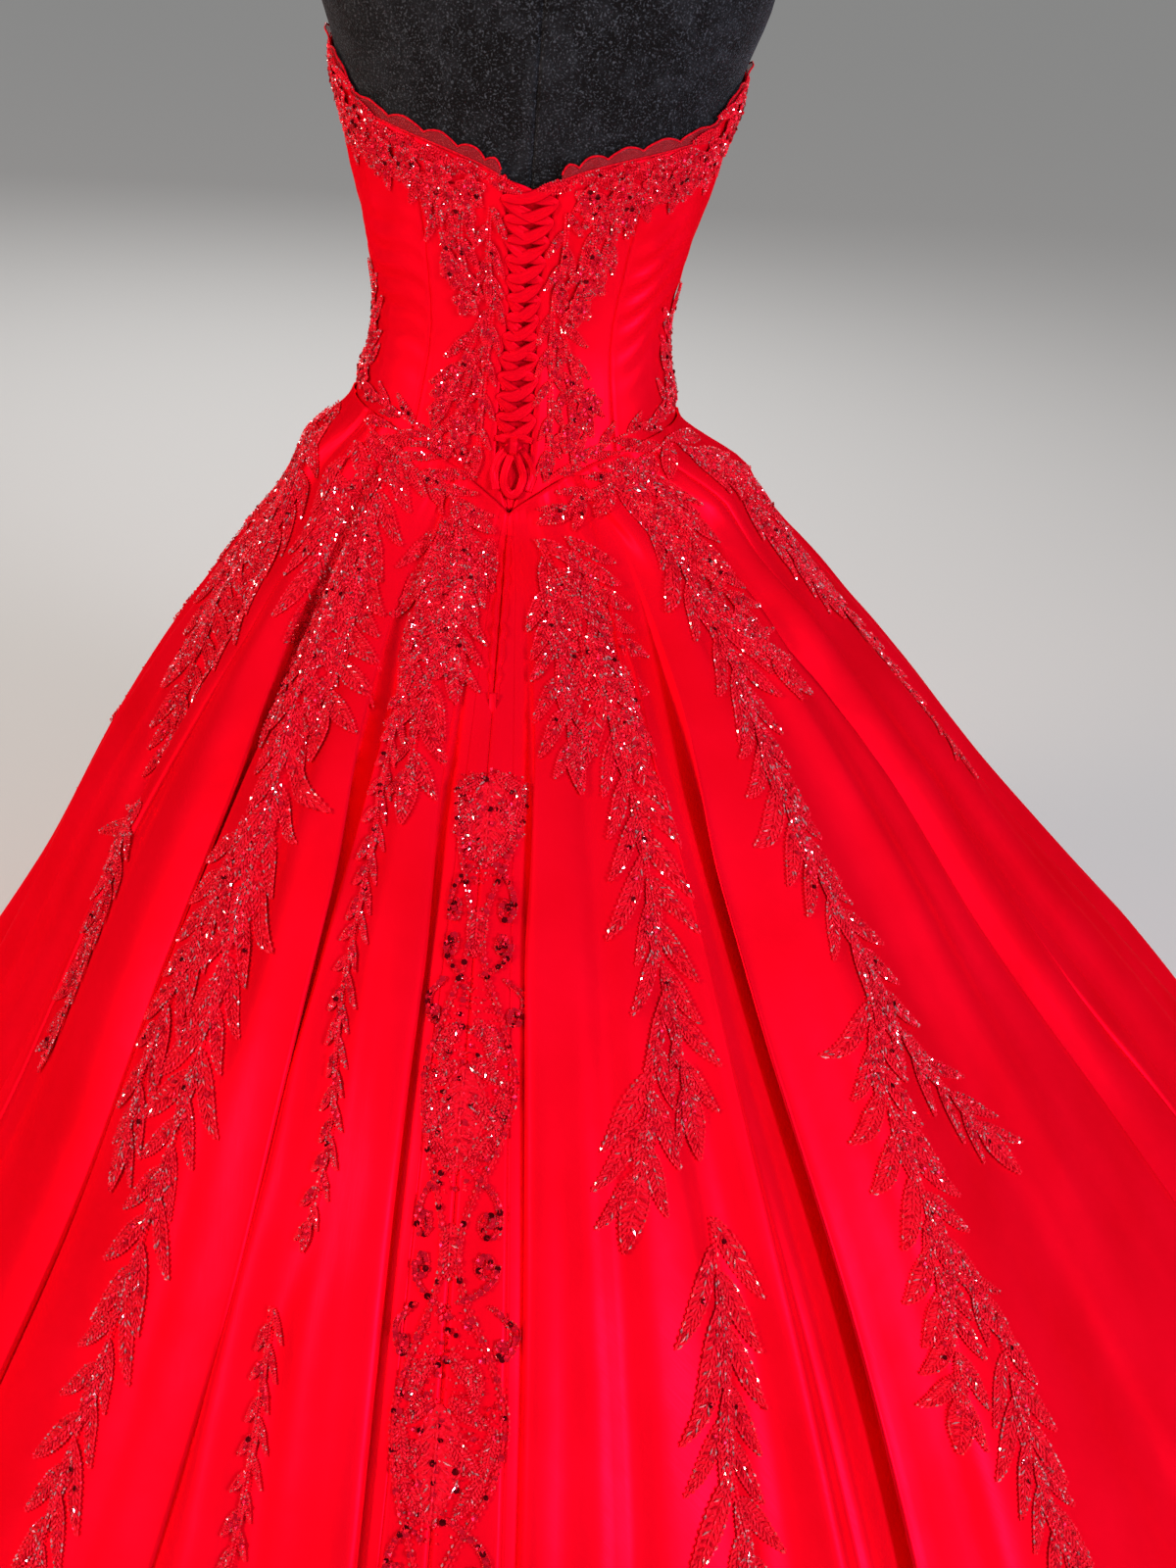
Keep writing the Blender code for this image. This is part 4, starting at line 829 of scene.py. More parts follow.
# Pleats: name and kind, angle at the waist, below the hip and at the hem, half width and depth.
PLEATS = (
    ("front_right_inner", "over_left", -163, -164, -162, 0.030, 0.040),
    ("front_right_outer", "valley", -146, -144, -147, 0.026, 0.028),
    ("side_front_right", "over_left", -127, -128, -126, 0.032, 0.044),
    ("side_right_front", "valley", -108, -110, -107, 0.030, 0.032),
    ("side_right", "over_left", -90, -91, -93, 0.032, 0.040),
    ("side_right_back", "valley", -66, -75, -74, 0.028, 0.026),
    ("back_right_outer", "over_left", -38, -61, -63, 0.034, 0.034),
    ("back_right_soft", "valley", -27, -45, -46, 0.026, 0.010),
    ("back_right_deep", "valley", -18, -30, -26, 0.034, 0.056),
    ("back_right_crease", "valley", -11, -20, -17, 0.018, 0.012),
    ("box_right", "box_right", -2.3, -5.6, -4, 0.018, 0.034),
    ("box_left", "box_left", 2.3, 7.8, 6, 0.018, 0.034),
    ("back_left_deep", "over_right", 18, 23, 26, 0.032, 0.038),
    ("back_left_outer", "over_right", 40, 45, 46, 0.032, 0.044),
    ("side_left_back", "valley", 60, 65, 65, 0.028, 0.026),
    ("side_left", "over_right", 82, 86, 86, 0.030, 0.038),
    ("side_left_front", "valley", 104, 106, 104, 0.028, 0.030),
    ("side_front_left", "over_right", 124, 126, 125, 0.032, 0.042),
    ("front_left_outer", "valley", 143, 145, 147, 0.026, 0.028),
    ("front_left_inner", "over_right", 162, 163, 162, 0.030, 0.040),
)
# Pleat profiles: place where it starts, place once it is full, share of its depth.
VALLEY = ((-1.7, -1.7, 0.0), (-0.5, -0.5, 0.8), (0.5, 0.5, 0.8), (1.7, 1.7, 0.0))
OVER_LEFT = ((-1.7, -1.7, 0.0), (-0.6, -0.45, 0.62), (0.2, 0.4, 1.0), (0.8, 0.2, 0.35), (1.7, 1.1, 0.0))
BOX_LEFT = ((-1.2, -1.2, 0.34), (-0.5, -0.2, 0.48), (0.1, 0.5, 0.8), (0.7, 0.05, 0.16), (1.6, 0.8, 0.0))


def mirrored(profile):
    """The same pleat folded the other way."""
    return tuple((-start, -full, depth) for start, full, depth in reversed(profile))


PROFILES = {
    "valley": VALLEY,
    "over_left": OVER_LEFT,
    "over_right": mirrored(OVER_LEFT),
    "box_left": BOX_LEFT,
    "box_right": mirrored(BOX_LEFT),
}
WAIST_WIDTH_SHARE, PLEAT_GROWTH, PLEAT_SPREAD = 0.14, 0.22, 0.09
LOBE_RISE, WIDE_LOBE, NARROW_LOBE = 0.006, 28.0, 16.0
# Gores: name, first and last seam, flat width and length, area left, and the bodice panel above.
SKIRT_PANELS = (
    ("skirt_front", "front_left_outer", "front_right_inner", (0.90, 1.22), 0.63, "front"),
    ("skirt_side_front_right", "front_right_inner", "side_right_front", (0.92, 1.38), 0.687,
     "side_front_right"),
    ("skirt_side_back_right", "side_right_front", "side_right_back", (0.71, 1.44), 0.50, "side_back_right"),
    ("skirt_back_right", "side_right_back", "box_right", (1.66, 1.65), 1.457, "back_right"),
    ("skirt_centre_back_right", "box_right", "centre", (0.063, 1.63), 0.0704, "back_right"),
    ("skirt_centre_back_left", "centre", "box_left", (0.045, 1.63), 0.0509, "back_left"),
    ("skirt_back_left", "box_left", "back_left_outer", (1.17, 1.64), 1.015, "back_left"),
    ("skirt_side_back_left", "back_left_outer", "side_left", (0.91, 1.34), 0.551, "side_back_left"),
    ("skirt_side_front_left", "side_left", "front_left_outer", (0.86, 1.17), 0.598, "side_front_left"),
)
# Creases pressed in by the cloth's own fall: half width, depth, then where each runs (angle, height).
CREASES = (
    (0.016, 0.009, ((16, 0.84), (16, 0.70), (14.5, 0.62), (16, 0.54), (15, 0.43), (14, 0.20))),
    (0.012, 0.006, ((29, 0.90), (31, 0.80), (30, 0.66))),
    (0.014, 0.006, ((55, 0.92), (56, 0.80), (55, 0.60), (56, 0.40))),
    (0.018, 0.007, ((75, 0.90), (76, 0.70), (75, 0.45), (76, 0.15))),
    (0.016, 0.007, ((96, 0.92), (97, 0.72), (95, 0.50))),
    (0.020, 0.008, ((115, 0.90), (116, 0.66), (114, 0.35), (115, 0.10))),
    (0.016, 0.006, ((135, 0.90), (136, 0.70), (134, 0.46))),
    (0.022, 0.007, ((153, 0.86), (154, 0.60), (152, 0.30), (153, 0.06))),
    (0.014, 0.005, ((172, 0.88), (174, 0.70), (173, 0.50))),
    (0.014, 0.005, ((-173, 0.88), (-175, 0.66), (-173, 0.42))),
    (0.022, 0.007, ((-155, 0.86), (-154, 0.60), (-156, 0.30), (-155, 0.06))),
    (0.016, 0.006, ((-136, 0.90), (-136, 0.70), (-135, 0.46))),
    (0.020, 0.008, ((-118, 0.90), (-119, 0.66), (-117, 0.35), (-118, 0.10))),
    (0.016, 0.007, ((-99, 0.92), (-100, 0.72), (-99, 0.50))),
    (0.020, 0.008, ((-82, 0.90), (-83, 0.70), (-83, 0.40), (-84, 0.10))),
    (0.016, 0.007, ((-60, 0.93), (-68, 0.85), (-69, 0.70), (-68, 0.50))),
    (0.012, 0.005, ((-33, 0.93), (-52, 0.84), (-54, 0.70), (-53, 0.45))),
    (0.010, 0.006, ((-14, 0.92), (-24, 0.80), (-24.5, 0.62), (-24, 0.42), (-22, 0.20))),
    (0.010, 0.005, ((-6, 0.93), (-12, 0.86), (-12.5, 0.74), (-12, 0.55), (-10, 0.25))),
)


def skirt_point(angle, height, out):
    """The skirt's lobes: the body's line at the waist seam, then the flare."""
    angle, height, out = np.broadcast_arrays(np.asarray(angle, float), height, out)
    bearing = wrapped(angle)
    side = np.where(bearing > 0, at_height(SKIRT, "left", height), at_height(SKIRT, "right", height))
    front, back = at_height(SKIRT, "front", height), at_height(SKIRT, "back", height)
    flared = section_point(side, front, back, angle, height, out)
    lap = smoothstep((14 - np.abs(bearing)) / 6) * MODESTY_LAP
    close = body_point(bearing, height, out + FORM_GAP + BODICE_THICKNESS + lap + WAIST_BULK)
    share = smoothstep((waist_seam(bearing) - height) / FLARE_DEPTH)[..., None]
    return close * (1 - share) + flared * share


def pleat_columns(row_share):
    """Every main column across the skirt at one row: even place, own place, offset, seam and spot."""
    growth = (1 - math.exp(-row_share / PLEAT_GROWTH)) / (1 - math.exp(-1 / PLEAT_GROWTH))
    swing = 1 - math.exp(-row_share / PLEAT_SPREAD)
    drift = float(smoothstep((row_share - 0.3) / 0.7))
    pleats = []
    for name, kind, waist, middle, hem, half_width, depth in PLEATS:
        centre = waist + (middle - waist) * swing + (hem - middle) * drift
        height = (waist_seam(centre) + SEAM_LAP) * (1 - row_share)
        ends = skirt_point(np.array([centre - 0.5, centre + 0.5]), height, 0.0)
        per_degree = np.linalg.norm(ends[1] - ends[0])
        width = half_width * (WAIST_WIDTH_SHARE + (1 - WAIST_WIDTH_SHARE) * growth) / per_degree
        sunk = WAIST_FOLD_DEPTH + (depth - WAIST_FOLD_DEPTH) * growth
        if kind.startswith("box") or name == "back_right_crease":
            sunk *= 0.12 + 0.88 * float(smoothstep(row_share / 0.20))
        pleats.append([
            (centre + start * width, centre + (start + (full - start) * growth**2) * width, -sunk * share)
            for start, full, share in PROFILES[kind]
        ])
    found = []
    for k, pleat in enumerate(pleats):
        name, last = PLEATS[k][0], pleat[-1]
        seam_at = {"box_left": 0, "box_right": len(pleat) - 1}.get(name)
        for i, place in enumerate(pleat):
            found.append((*place, name if i == seam_at else "", (name, i)))
        round_once = 360 if k == len(pleats) - 1 else 0
        after = pleats[(k + 1) % len(pleats)][0]
        middle_gap = PLEATS[(k + 1) % len(PLEATS)][3] + round_once - PLEATS[k][3]
        count = 3 if middle_gap > WIDE_LOBE else 2 if middle_gap > NARROW_LOBE else 1
        seam, rise = name, LOBE_RISE * growth
        if name == "box_right":
            count, seam, rise = 1, "centre", 0.0
        for i in range(count):
            share = (i + 1) / (count + 1)
            even, placed = (last[j] + (after[j] + round_once - last[j]) * share for j in (0, 1))
            offset = last[2] + (after[2] - last[2]) * share + rise * math.sin(math.pi * share)
            at_seam = i == count // 2 and name != "box_left"
            found.append((even, placed, offset, seam if at_seam else "", ("", i)))
    return list(zip(*found))


def grid_normals(grid):
    """Outward unit normals of a grid that closes on itself sideways."""
    sideways = np.roll(grid, -1, axis=1) - np.roll(grid, 1, axis=1)
    normal = unit(np.cross(np.gradient(grid, axis=0), sideways))
    return normal if np.sum(normal[5, :, :2] * grid[5, :, :2]) > 0 else -normal


# The rows stand closer together towards the waist, and the pleats at the back have closer columns.
ROW_CROWDING, COLUMNS_AT_BACK, COLUMNS_ELSEWHERE, BACK_HALF = 1.25, 9, 4, 50
SKIRT_ROWS = np.linspace(0, 1, 86) ** ROW_CROWDING
skirt_rows = [pleat_columns(float(row_share)) for row_share in SKIRT_ROWS]
main_even, main_placed, main_offset = (np.array([row[k] for row in skirt_rows]) for k in range(3))
seam_names, spots = skirt_rows[-1][3:]
main_top = waist_seam(wrapped(main_placed)) + SEAM_LAP
here = skirt_point(main_placed, main_top * (1 - SKIRT_ROWS[:, None]), main_offset)
next_even = np.roll(main_even, -1, axis=1)
next_even[:, -1] += 360
before, after, beyond = (np.roll(here, shift, axis=1) for shift in (1, -1, -2))
gaps = [
    np.linalg.norm(end - start, axis=-1, keepdims=True) ** 0.5 + 1e-9
    for start, end in ((before, here), (here, after), (after, beyond))
]
lean_in = (here - before) / gaps[0] - (after - before) / (gaps[0] + gaps[1]) + (after - here) / gaps[1]
lean_out = (after - here) / gaps[1] - (beyond - here) / (gaps[1] + gaps[2]) + (beyond - after) / gaps[2]
each = np.where(np.abs(wrapped(main_even[40])) < BACK_HALF, COLUMNS_AT_BACK, COLUMNS_ELSEWHERE)
main_of = np.repeat(np.arange(len(each)), each)
t = (np.concatenate([np.arange(count) / count for count in each]))[:, None]
skirt_fine = (
    here[:, main_of] * (2 * t**3 - 3 * t**2 + 1) + (lean_in * gaps[1])[:, main_of] * (t**3 - 2 * t**2 + t)
    + after[:, main_of] * (3 * t**2 - 2 * t**3) + (lean_out * gaps[1])[:, main_of] * (t**3 - t**2)
)
even_fine = main_even[:, main_of] * (1 - t[:, 0]) + next_even[:, main_of] * t[:, 0]
rows, around = even_fine.shape
column_start = np.concatenate([[0], np.cumsum(each)])
seam_place = {seam: int(column_start[i]) for i, seam in enumerate(seam_names) if seam}
skirt_normal = grid_normals(skirt_fine)

# Creases, gathers below the seam, soft swaying hollows and drag lines at the hips.
GATHER_DEPTH, SWAY_DEPTH, HIP_DRAG_DEPTH = 0.0003, 0.0022, 0.0006
bearing = wrapped(even_fine)
skirt_height = skirt_fine[..., 2]
below_seam = waist_seam(bearing) - skirt_height
ends = [skirt_point(bearing + d, skirt_height, 0.0) for d in (-0.5, 0.5)]
metres_per_degree = np.linalg.norm(ends[1] - ends[0], axis=-1)
relief = np.zeros_like(bearing)
for half_width, depth, bends in CREASES:
    angles, heights = np.array(bends, float).T
    line = smooth_curve(skirt_height, heights, angles)
    reach = smoothstep((heights.max() + 0.03 - skirt_height) / 0.06)
    reach = reach * smoothstep((skirt_height - heights.min() + 0.05) / 0.10)
    distance = wrapped(bearing - line) * metres_per_degree
    swell = 0.45 * bump(distance - 2.1 * half_width, half_width)
    relief -= reach * depth * (bump(distance, half_width) - swell)
gather = np.sin(bearing * 1.27 + 2 * np.sin(bearing * 0.31)) + 0.6 * np.sin(bearing * 2.9 + 1.3)
relief += GATHER_DEPTH * gather * bump(below_seam - 0.022, 0.030) * smoothstep(np.abs(bearing) / 8)
sway = np.sin(bearing * 0.21 + 3 * np.sin(skirt_height * 2.2))
sway += 0.7 * np.sin(bearing * 0.47 - skirt_height * 7)
relief += SWAY_DEPTH * sway * smoothstep(below_seam / 0.35)
drag = np.sin(2 * math.pi * (skirt_height * 15 + bearing * 0.05 + 0.5 * np.sin(bearing * 0.13)))
relief += HIP_DRAG_DEPTH * drag * bump(below_seam - 0.12, 0.09)
relief *= smoothstep(below_seam / 0.012 + 0.5)
skirt_outer = skirt_fine + skirt_normal * relief[..., None]
# Second edges that have slipped over inside the deep pleats: pleat, its column, the side the edge
# comes from, how far back it rises, how high it stands, how far it has slipped and the groove's depth.
LIPS = (
    ("back_right_deep", 1, -1, 0.046, 0.016, 0.018, 0.020),
    ("back_right_outer", 3, 1, 0.038, 0.009, 0.012, 0.012),
    ("box_right", 1, -1, 0.024, 0.005, 0.011, 0.006),
    ("box_left", 3, 1, 0.024, 0.004, 0.011, 0.005),
    ("back_left_deep", 3, 1, 0.042, 0.014, 0.014, 0.020),
    ("back_left_outer", 3, 1, 0.050, 0.018, 0.014, 0.012),
)
across_cloth = unit(np.roll(skirt_outer, -1, axis=1) - np.roll(skirt_outer, 1, axis=1))
cloth_run = run_along(skirt_outer, axis=1)
fully = smoothstep((SKIRT_ROWS - 0.05) / 0.20)[:, None]
for pleat, place, side, reach, rise, slip, deep in LIPS:
    edge = column_start[spots.index((pleat, place))]
    away = side * (cloth_run - cloth_run[:, edge : edge + 1])
    lifted = np.where(away >= 0, 1 - smoothstep(away / reach), 0.0) * fully
    groove = np.where(away < 0, bump(away, 0.019), 0.0) * fully
    skirt_outer += skirt_normal * (rise * lifted - deep * groove)[..., None]
    skirt_outer -= across_cloth * (side * slip * lifted**3)[..., None]
skirt_outer[..., 2] = np.maximum(skirt_outer[..., 2], SKIRT_THICKNESS + 0.0006)
skirt_normal = grid_normals(skirt_outer)
length_along = run_along(skirt_outer)

# The box pleat's seams lie in its folds, so their edges sink less and part less than the others.
FOLD_HIDES, FOLD_GAP_SHARE = 0.05, 0.1
GORE_DENT, GORE_SWELL = 0.0010, 0.0004
for name, start, end, cut, area, above in SKIRT_PANELS:
    first, last = seam_place[start], seam_place[end]
    last += around if last <= first else 0
    picked = np.arange(first, last + 1) % around
    outer, normal = skirt_outer[:, picked].copy(), skirt_normal[:, picked]
    run = run_along(outer, axis=1)
    in_fold = [FOLD_HIDES if seam_name.startswith("box") else 0.0 for seam_name in (start, end)]
    from_seam = np.minimum(run + in_fold[0], run[:, -1:] - run + in_fold[1])
    rolled = -GORE_DENT * bump(from_seam, 0.0016) + GORE_SWELL * bump(from_seam - 0.007, 0.004)
    outer += normal * rolled[..., None]
    for edge, beside, hidden in ((0, 1, in_fold[0]), (-1, -2, in_fold[1])):
        step = outer[:, beside] - outer[:, edge]
        shown = FOLD_GAP_SHARE if hidden else 1.0
        outer[:, edge] += step * (shown * SEAM_GAP / 2 / np.linalg.norm(step, axis=-1, keepdims=True))
    inner = outer - normal * SKIRT_THICKNESS
    inner[..., 2] = np.maximum(inner[..., 2], FLOOR_GAP)
    panel = shell(name + "_satin", outer, inner, satin, np.stack([run, length_along[:, picked]], -1))
    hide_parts(name)

# ---------------------------------------------------------------- zip
# An invisible zip is set into the top of the centre seam. Only its slit shows: two pressed and
# slightly puckered edges of satin over a woven tape, and the tape's end folded over below them.

ZIP_TOP, ZIP_FOOT, ZIP_STEPS = 0.918, 0.842, 70
PUCKER_SPACING, LIP_RADIUS = 0.0105, 0.0024
TAPE_WIDTH, TAPE_THICKNESS, TAPE_GAP = 0.025, 0.0005, 0.0012
TAB_HALF_WIDTH, TAB_STEPS = 0.0030, 16


def in_proportion(at, knots, points):
    """Places between the points of a row."""
    return np.stack([np.interp(at, knots, points[:, k]) for k in range(3)], -1)


seam = skirt_outer[:, seam_place["centre"]]
order = np.argsort(seam[:, 2])
zip_height = np.linspace(ZIP_TOP, ZIP_FOOT, ZIP_STEPS)
slit = in_proportion(zip_height, seam[order, 2], seam[order])
slit_out = unit(in_proportion(zip_height, seam[order, 2], skirt_normal[order, seam_place["centre"]]))
fade = np.sin(math.pi * np.linspace(0.02, 0.98, ZIP_STEPS))[:, None] ** 0.5
pucker = (np.sin(zip_height * 2 * math.pi / PUCKER_SPACING) + 0.5 * np.sin(zip_height * 900))[:, None]
sideways = unit(np.cross(np.gradient(slit, axis=0), slit_out))
for side, sign in (("left", -1), ("right", 1)):
    lip = slit + sideways * sign * (0.0017 + 0.0016 * fade + 0.0005 * pucker)
    lip += slit_out * (0.0006 + 0.0006 * pucker) * fade
    lips = tube(f"zip_lip_{side}_satin", lip, LIP_RADIUS * (0.4 + 0.6 * fade[:, 0]), satin, sides=10)
tape_across = np.linspace(-TAPE_WIDTH / 2, TAPE_WIDTH / 2, 9)[None, :, None]
tape = slit[:, None] + sideways[:, None] * tape_across - slit_out[:, None] * (SKIRT_THICKNESS + TAPE_GAP)
tape_piece = shell("zip_tape_woven", tape, tape - slit_out[:, None] * TAPE_THICKNESS, ribbon)
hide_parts("zip_tape")
drop = np.linspace(-0.004, 0.020, TAB_STEPS)[:, None]
bulge = np.sin(np.linspace(0, 3, TAB_STEPS))
tab = slit[-1] + slit_out[-1] * (0.0016 + 0.0022 * bulge[:, None]) + drop * (0, 0.55, -1)
tab += sideways[-1] * 0.0010 * np.sin(9 * drop)
tab_piece = band("zip_end_tab_woven", tab, TAB_HALF_WIDTH, 0.25 * bulge, slit_out[-1], ribbon, cup=0.0005)

# ---------------------------------------------------------------- beaded sprays on the skirt
# Corded lace leaves, cut out and stitched down flat in long sprays. Every leaf is edged with seed
# beads and filled with slanting bugle beads on both sides of its vein; most have cupped sequins too.

TABLE_STEP = 0.25      # degrees between the columns of the skirt's lookup table
table_turn = np.arange(-180, 180, TABLE_STEP)
skirt_table = np.empty((rows, len(table_turn), 3))
for r in range(rows):
    level = np.append(even_fine[r], even_fine[r, 0] + 360)
    ring = np.concatenate([skirt_outer[r], skirt_outer[r, :1]])
    skirt_table[r] = in_proportion((table_turn - level[0]) % 360 + level[0], level, ring)


def on_skirt(angle, height):
    """Points of the finished skirt, read from its table."""
    bearing = wrapped(angle)
    share = np.clip(1 - height / (waist_seam(bearing) + SEAM_LAP), 0, 0.9999)
    row = share ** (1 / ROW_CROWDING) * (len(skirt_table) - 1)
    col = (bearing + 180) / TABLE_STEP
    r, c = row.astype(int), col.astype(int)
    down, over = (row - r)[..., None], (col - c)[..., None]
    c, d = c % len(table_turn), (c + 1) % len(table_turn)
    upper = skirt_table[r, c] * (1 - over) + skirt_table[r, d] * over
    lower = skirt_table[r + 1, c] * (1 - over) + skirt_table[r + 1, d] * over
    return upper * (1 - down) + lower * down


def on_bodice(angle, height):
    """Points of the bodice's outer face."""
    return body_point(angle, height, FORM_GAP + BODICE_THICKNESS + modesty_lap(angle))


def lie_on(surface, angle, height, lift):
    """Points above a surface, and the surface's outward normals there."""
    sideways = surface(angle + 0.3, height) - surface(angle - 0.3, height)
    downward = surface(angle, height - 0.003) - surface(angle, height + 0.003)
    normal = unit(np.cross(sideways, downward))
    return surface(angle, height) + normal * np.asarray(lift)[..., None], normal


def cloth_scale(surface, angle, height):
    """Metres of cloth for a degree sideways and for a metre of height."""
    sideways = surface(angle + 1.2, height) - surface(angle - 1.2, height)
    downward = surface(angle, height - 0.01) - surface(angle, height + 0.01)
    return np.linalg.norm(sideways, axis=-1) / 2.4, np.linalg.norm(downward, axis=-1) / 0.02


def leaf_places(leaf, along, across):
    """Angle and height of places on every leaf: along from root to tip, across from edge to edge."""
    u, v = np.broadcast_arrays(along, across)
    column = {key: value.reshape((-1,) + (1,) * u.ndim) for key, value in leaf.items()}
    half = column["half"] * np.sin(math.pi * np.clip(u, 0, 1) ** 0.80) ** 0.85
    out = half * v + column["curl"] * column["length"] * np.sin(math.pi * u / 2) ** 2
    far = column["length"] * u
    sine, cosine = np.sin(column["heading"]), np.cos(column["heading"])
    angle = column["angle"] + (far * sine + out * cosine) / column["per_degree"]
    return angle, column["height"] - (far * cosine - out * sine) / column["per_metre"]


def leaves_on(surface, rows_of_values):
    """A table of leaves: root angle and height, heading, length, half width, curl and lift."""
    leaf = columns(("angle", "height", "heading", "length", "half", "curl", "lift"), *rows_of_values)
    leaf["per_degree"], leaf["per_metre"] = cloth_scale(surface, leaf["angle"], leaf["height"])
    return leaf


def leaf_cloth(surface, leaf):
    """Points and faces of the lace under every leaf, slightly domed, with a groove for its vein."""
    u, v = np.meshgrid(np.linspace(0.01, 0.99, 8), np.linspace(-1, 1, 5), indexing="ij")
    dome = 0.0006 * (1 - v**2) - 0.0003 * bump(v, 0.3)
    points = lie_on(surface, *leaf_places(leaf, u, v), leaf["lift"][:, None, None] + dome)[0]
    return points.reshape(-1, 3), repeated(grid_faces(*u.shape), len(points), u.size)


SEED_RADIUS, STEM_SEED_RADIUS, BUGLE_RADIUS = 0.00115, 0.0011, 0.0009
SHORTEST_BEAD, LONGEST_BEAD = 0.0009, 0.0034
chance = np.random.default_rng(7723)


def beads_between(surface, leaf, start, end, lift, thick):
    """One bead between each pair of places on every leaf: its middle, half length, normal and radius."""
    rise = leaf["lift"][:, None] + lift
    a, normal = lie_on(surface, *leaf_places(leaf, *start), rise)
    b = lie_on(surface, *leaf_places(leaf, *end), rise)[0]
    middle, half = (a + b) / 2, (b - a) / 2
    size = np.linalg.norm(half, axis=-1, keepdims=True)
    half = half / (size + 1e-12) * np.clip(size * 0.92, SHORTEST_BEAD, LONGEST_BEAD)
    return [x.reshape(-1, 3) for x in (middle, half, normal)] + [np.full(middle[..., 0].size, thick)]


def leaf_beads(surface, leaf):
    """The seed beads round each leaf and along its vein, and the bugle beads that fill it."""
    edge, vein = np.linspace(0.04, 0.98, 16), np.linspace(0.05, 0.92, 11)
    inner = np.linspace(0.16, 0.80, 10)
    outer = inner + 0.085
    sides = (-1.0, 1.0)
    beads = [((edge[:-1], side), (edge[1:], side), 0.0010, SEED_RADIUS) for side in sides]
    beads += [((inner, 0.14 * side), (outer, 0.84 * side), 0.0014, BUGLE_RADIUS) for side in sides]
    beads.append(((vein[:-1], 0.0), (vein[1:], 0.0), 0.0013, BUGLE_RADIUS))
    groups = [beads_between(surface, leaf, *bead) for bead in beads]
    return [np.concatenate([group[k] for group in groups]) for k in range(4)]


def bead_mesh(groups):
    """Points and faces of the beads' upper halves, four facets each, tilted a little their own way."""
    middle, half, normal, thick = (np.concatenate([group[k] for group in groups]) for k in range(4))
    count = len(middle)
    tilt = chance.normal(0, 0.30, (count, 3))
    long_axis = half + np.linalg.norm(half, axis=-1, keepdims=True) * tilt * 0.35
    over = unit(np.cross(long_axis, unit(unit(normal) + tilt)))
    up = unit(np.cross(over, long_axis))
    size = thick[:, None]
    points = middle[:, None] + np.stack([long_axis, over * size, -long_axis, -over * size, up * size], 1)
    faces = repeated(np.array([(0, 1, 4), (1, 2, 4), (2, 3, 4), (3, 0, 4)]), count, 5)
    # The larger beads round the leaves are given the lighter finishes, a painted highlight on the leaf
    # edges; the smaller filling beads get more dark red, painted shade inside the leaves.
    painted_lit_kinds = chance.choice(3, count, p=(0.76, 0.21, 0.03))
    dark = chance.choice(3, count, p=(0.72, 0.12, 0.16))
    return points.reshape(-1, 3), faces, np.repeat(np.where(thick > 0.001, painted_lit_kinds, dark), 4)


def sequin_mesh(middle, normal, radius):
    """Points and faces of cupped six-sided sequins, each caught down at its own slant."""
    count = len(middle)
    up = unit(normal + chance.normal(0, 0.28, (count, 3)))
    over = unit(np.cross(up, chance.normal(0, 1, (count, 3))))
    third = np.cross(up, over)
    turn = np.linspace(0, 2 * math.pi, 6, endpoint=False)
    rim = over[:, None] * np.cos(turn)[:, None] + third[:, None] * np.sin(turn)[:, None]
    rim = middle[:, None] + rim * np.asarray(radius).reshape(-1, 1, 1) + up[:, None] * 0.0004
    points = np.concatenate([middle[:, None], rim], 1)
    six = np.array([(0, k + 1, (k + 1) % 6 + 1) for k in range(6)])
    return points.reshape(-1, 3), repeated(six, count, 7)


def trimmings(name, groups, sequins, shaded_sequin_share=0.10):
    """All beads and sequins of one piece as one mesh, with a share of the sequins in a darker foil as
    painted shade.
    """
    points, faces, kinds = bead_mesh(groups)
    more_points, more_faces = sequin_mesh(*sequins)
    faces = np.concatenate([faces, more_faces + len(points)])
    points = np.concatenate([points, more_points])
    more_kinds = chance.choice((3, 4), len(more_faces) // 6, p=(1 - shaded_sequin_share, shaded_sequin_share))
    kinds = np.concatenate([kinds, np.repeat(more_kinds, 6)])
    return mesh_piece(name, points, faces, BEAD_FINISHES, smooth=False, picks=kinds)


def corded_lace():
    """Rayon-corded lace on net: the raised embroidery is a shade darker and duller than the satin."""
    made, tree = new_material(
        "corded_lace_embroidered", Roughness=0.66, Specular_IOR_Level=0.25, Specular_Tint=linear("#FF2030"),
    )
    place = add_node(tree, "ShaderNodeTexCoord")
    # Stitches of 0.5 mm are drawn 2.3 mm apart, so that they show.
    stitch = add_node(
        tree, "ShaderNodeTexVoronoi", {"Scale": per_metre(2.3256)}, {"Vector": place.outputs["Object"]}
    )
    shade = add_node(
        tree, "ShaderNodeValToRGB", {"stops": ((0.10, "#FC1430"), (0.60, "#D80A20"))},
        {"Fac": stitch.outputs["Distance"]},
    )
    raised = add_node(
        tree, "ShaderNodeBump", {"Strength": 0.8, "Distance": 0.0008},
        {"Height": stitch.outputs["Distance"]},
    )
    feed_shader(tree, Base_Color=shade.outputs["Color"], Normal=raised.outputs["Normal"])
    return made


def glass(name, colour, metallic, roughness):
    """Silver-lined glass: a clear coloured skin over a mirror that glints as the bead turns."""
    made, tree = new_material(
        name, Metallic=metallic, Roughness=roughness, Specular_IOR_Level=0.4, Specular_Tint=linear(colour)
    )
    place = add_node(tree, "ShaderNodeTexCoord")
    # The tone changes about every 3.3 mm, so that beads side by side differ.
    mottle = add_node(
        tree, "ShaderNodeTexNoise", {"Scale": per_metre(3.3333)}, {"Vector": place.outputs["Object"]}
    )
    shade = add_node(tree, "ShaderNodeValToRGB", links={"Fac": mottle.outputs["Fac"]})
    for stop, part in zip(shade.color_ramp.elements, (0.75, 1.0)):
        stop.color = tuple(c * part for c in linear(colour)[:3]) + (1.0,)
    feed_shader(tree, Base_Color=shade.outputs["Color"])
    return made


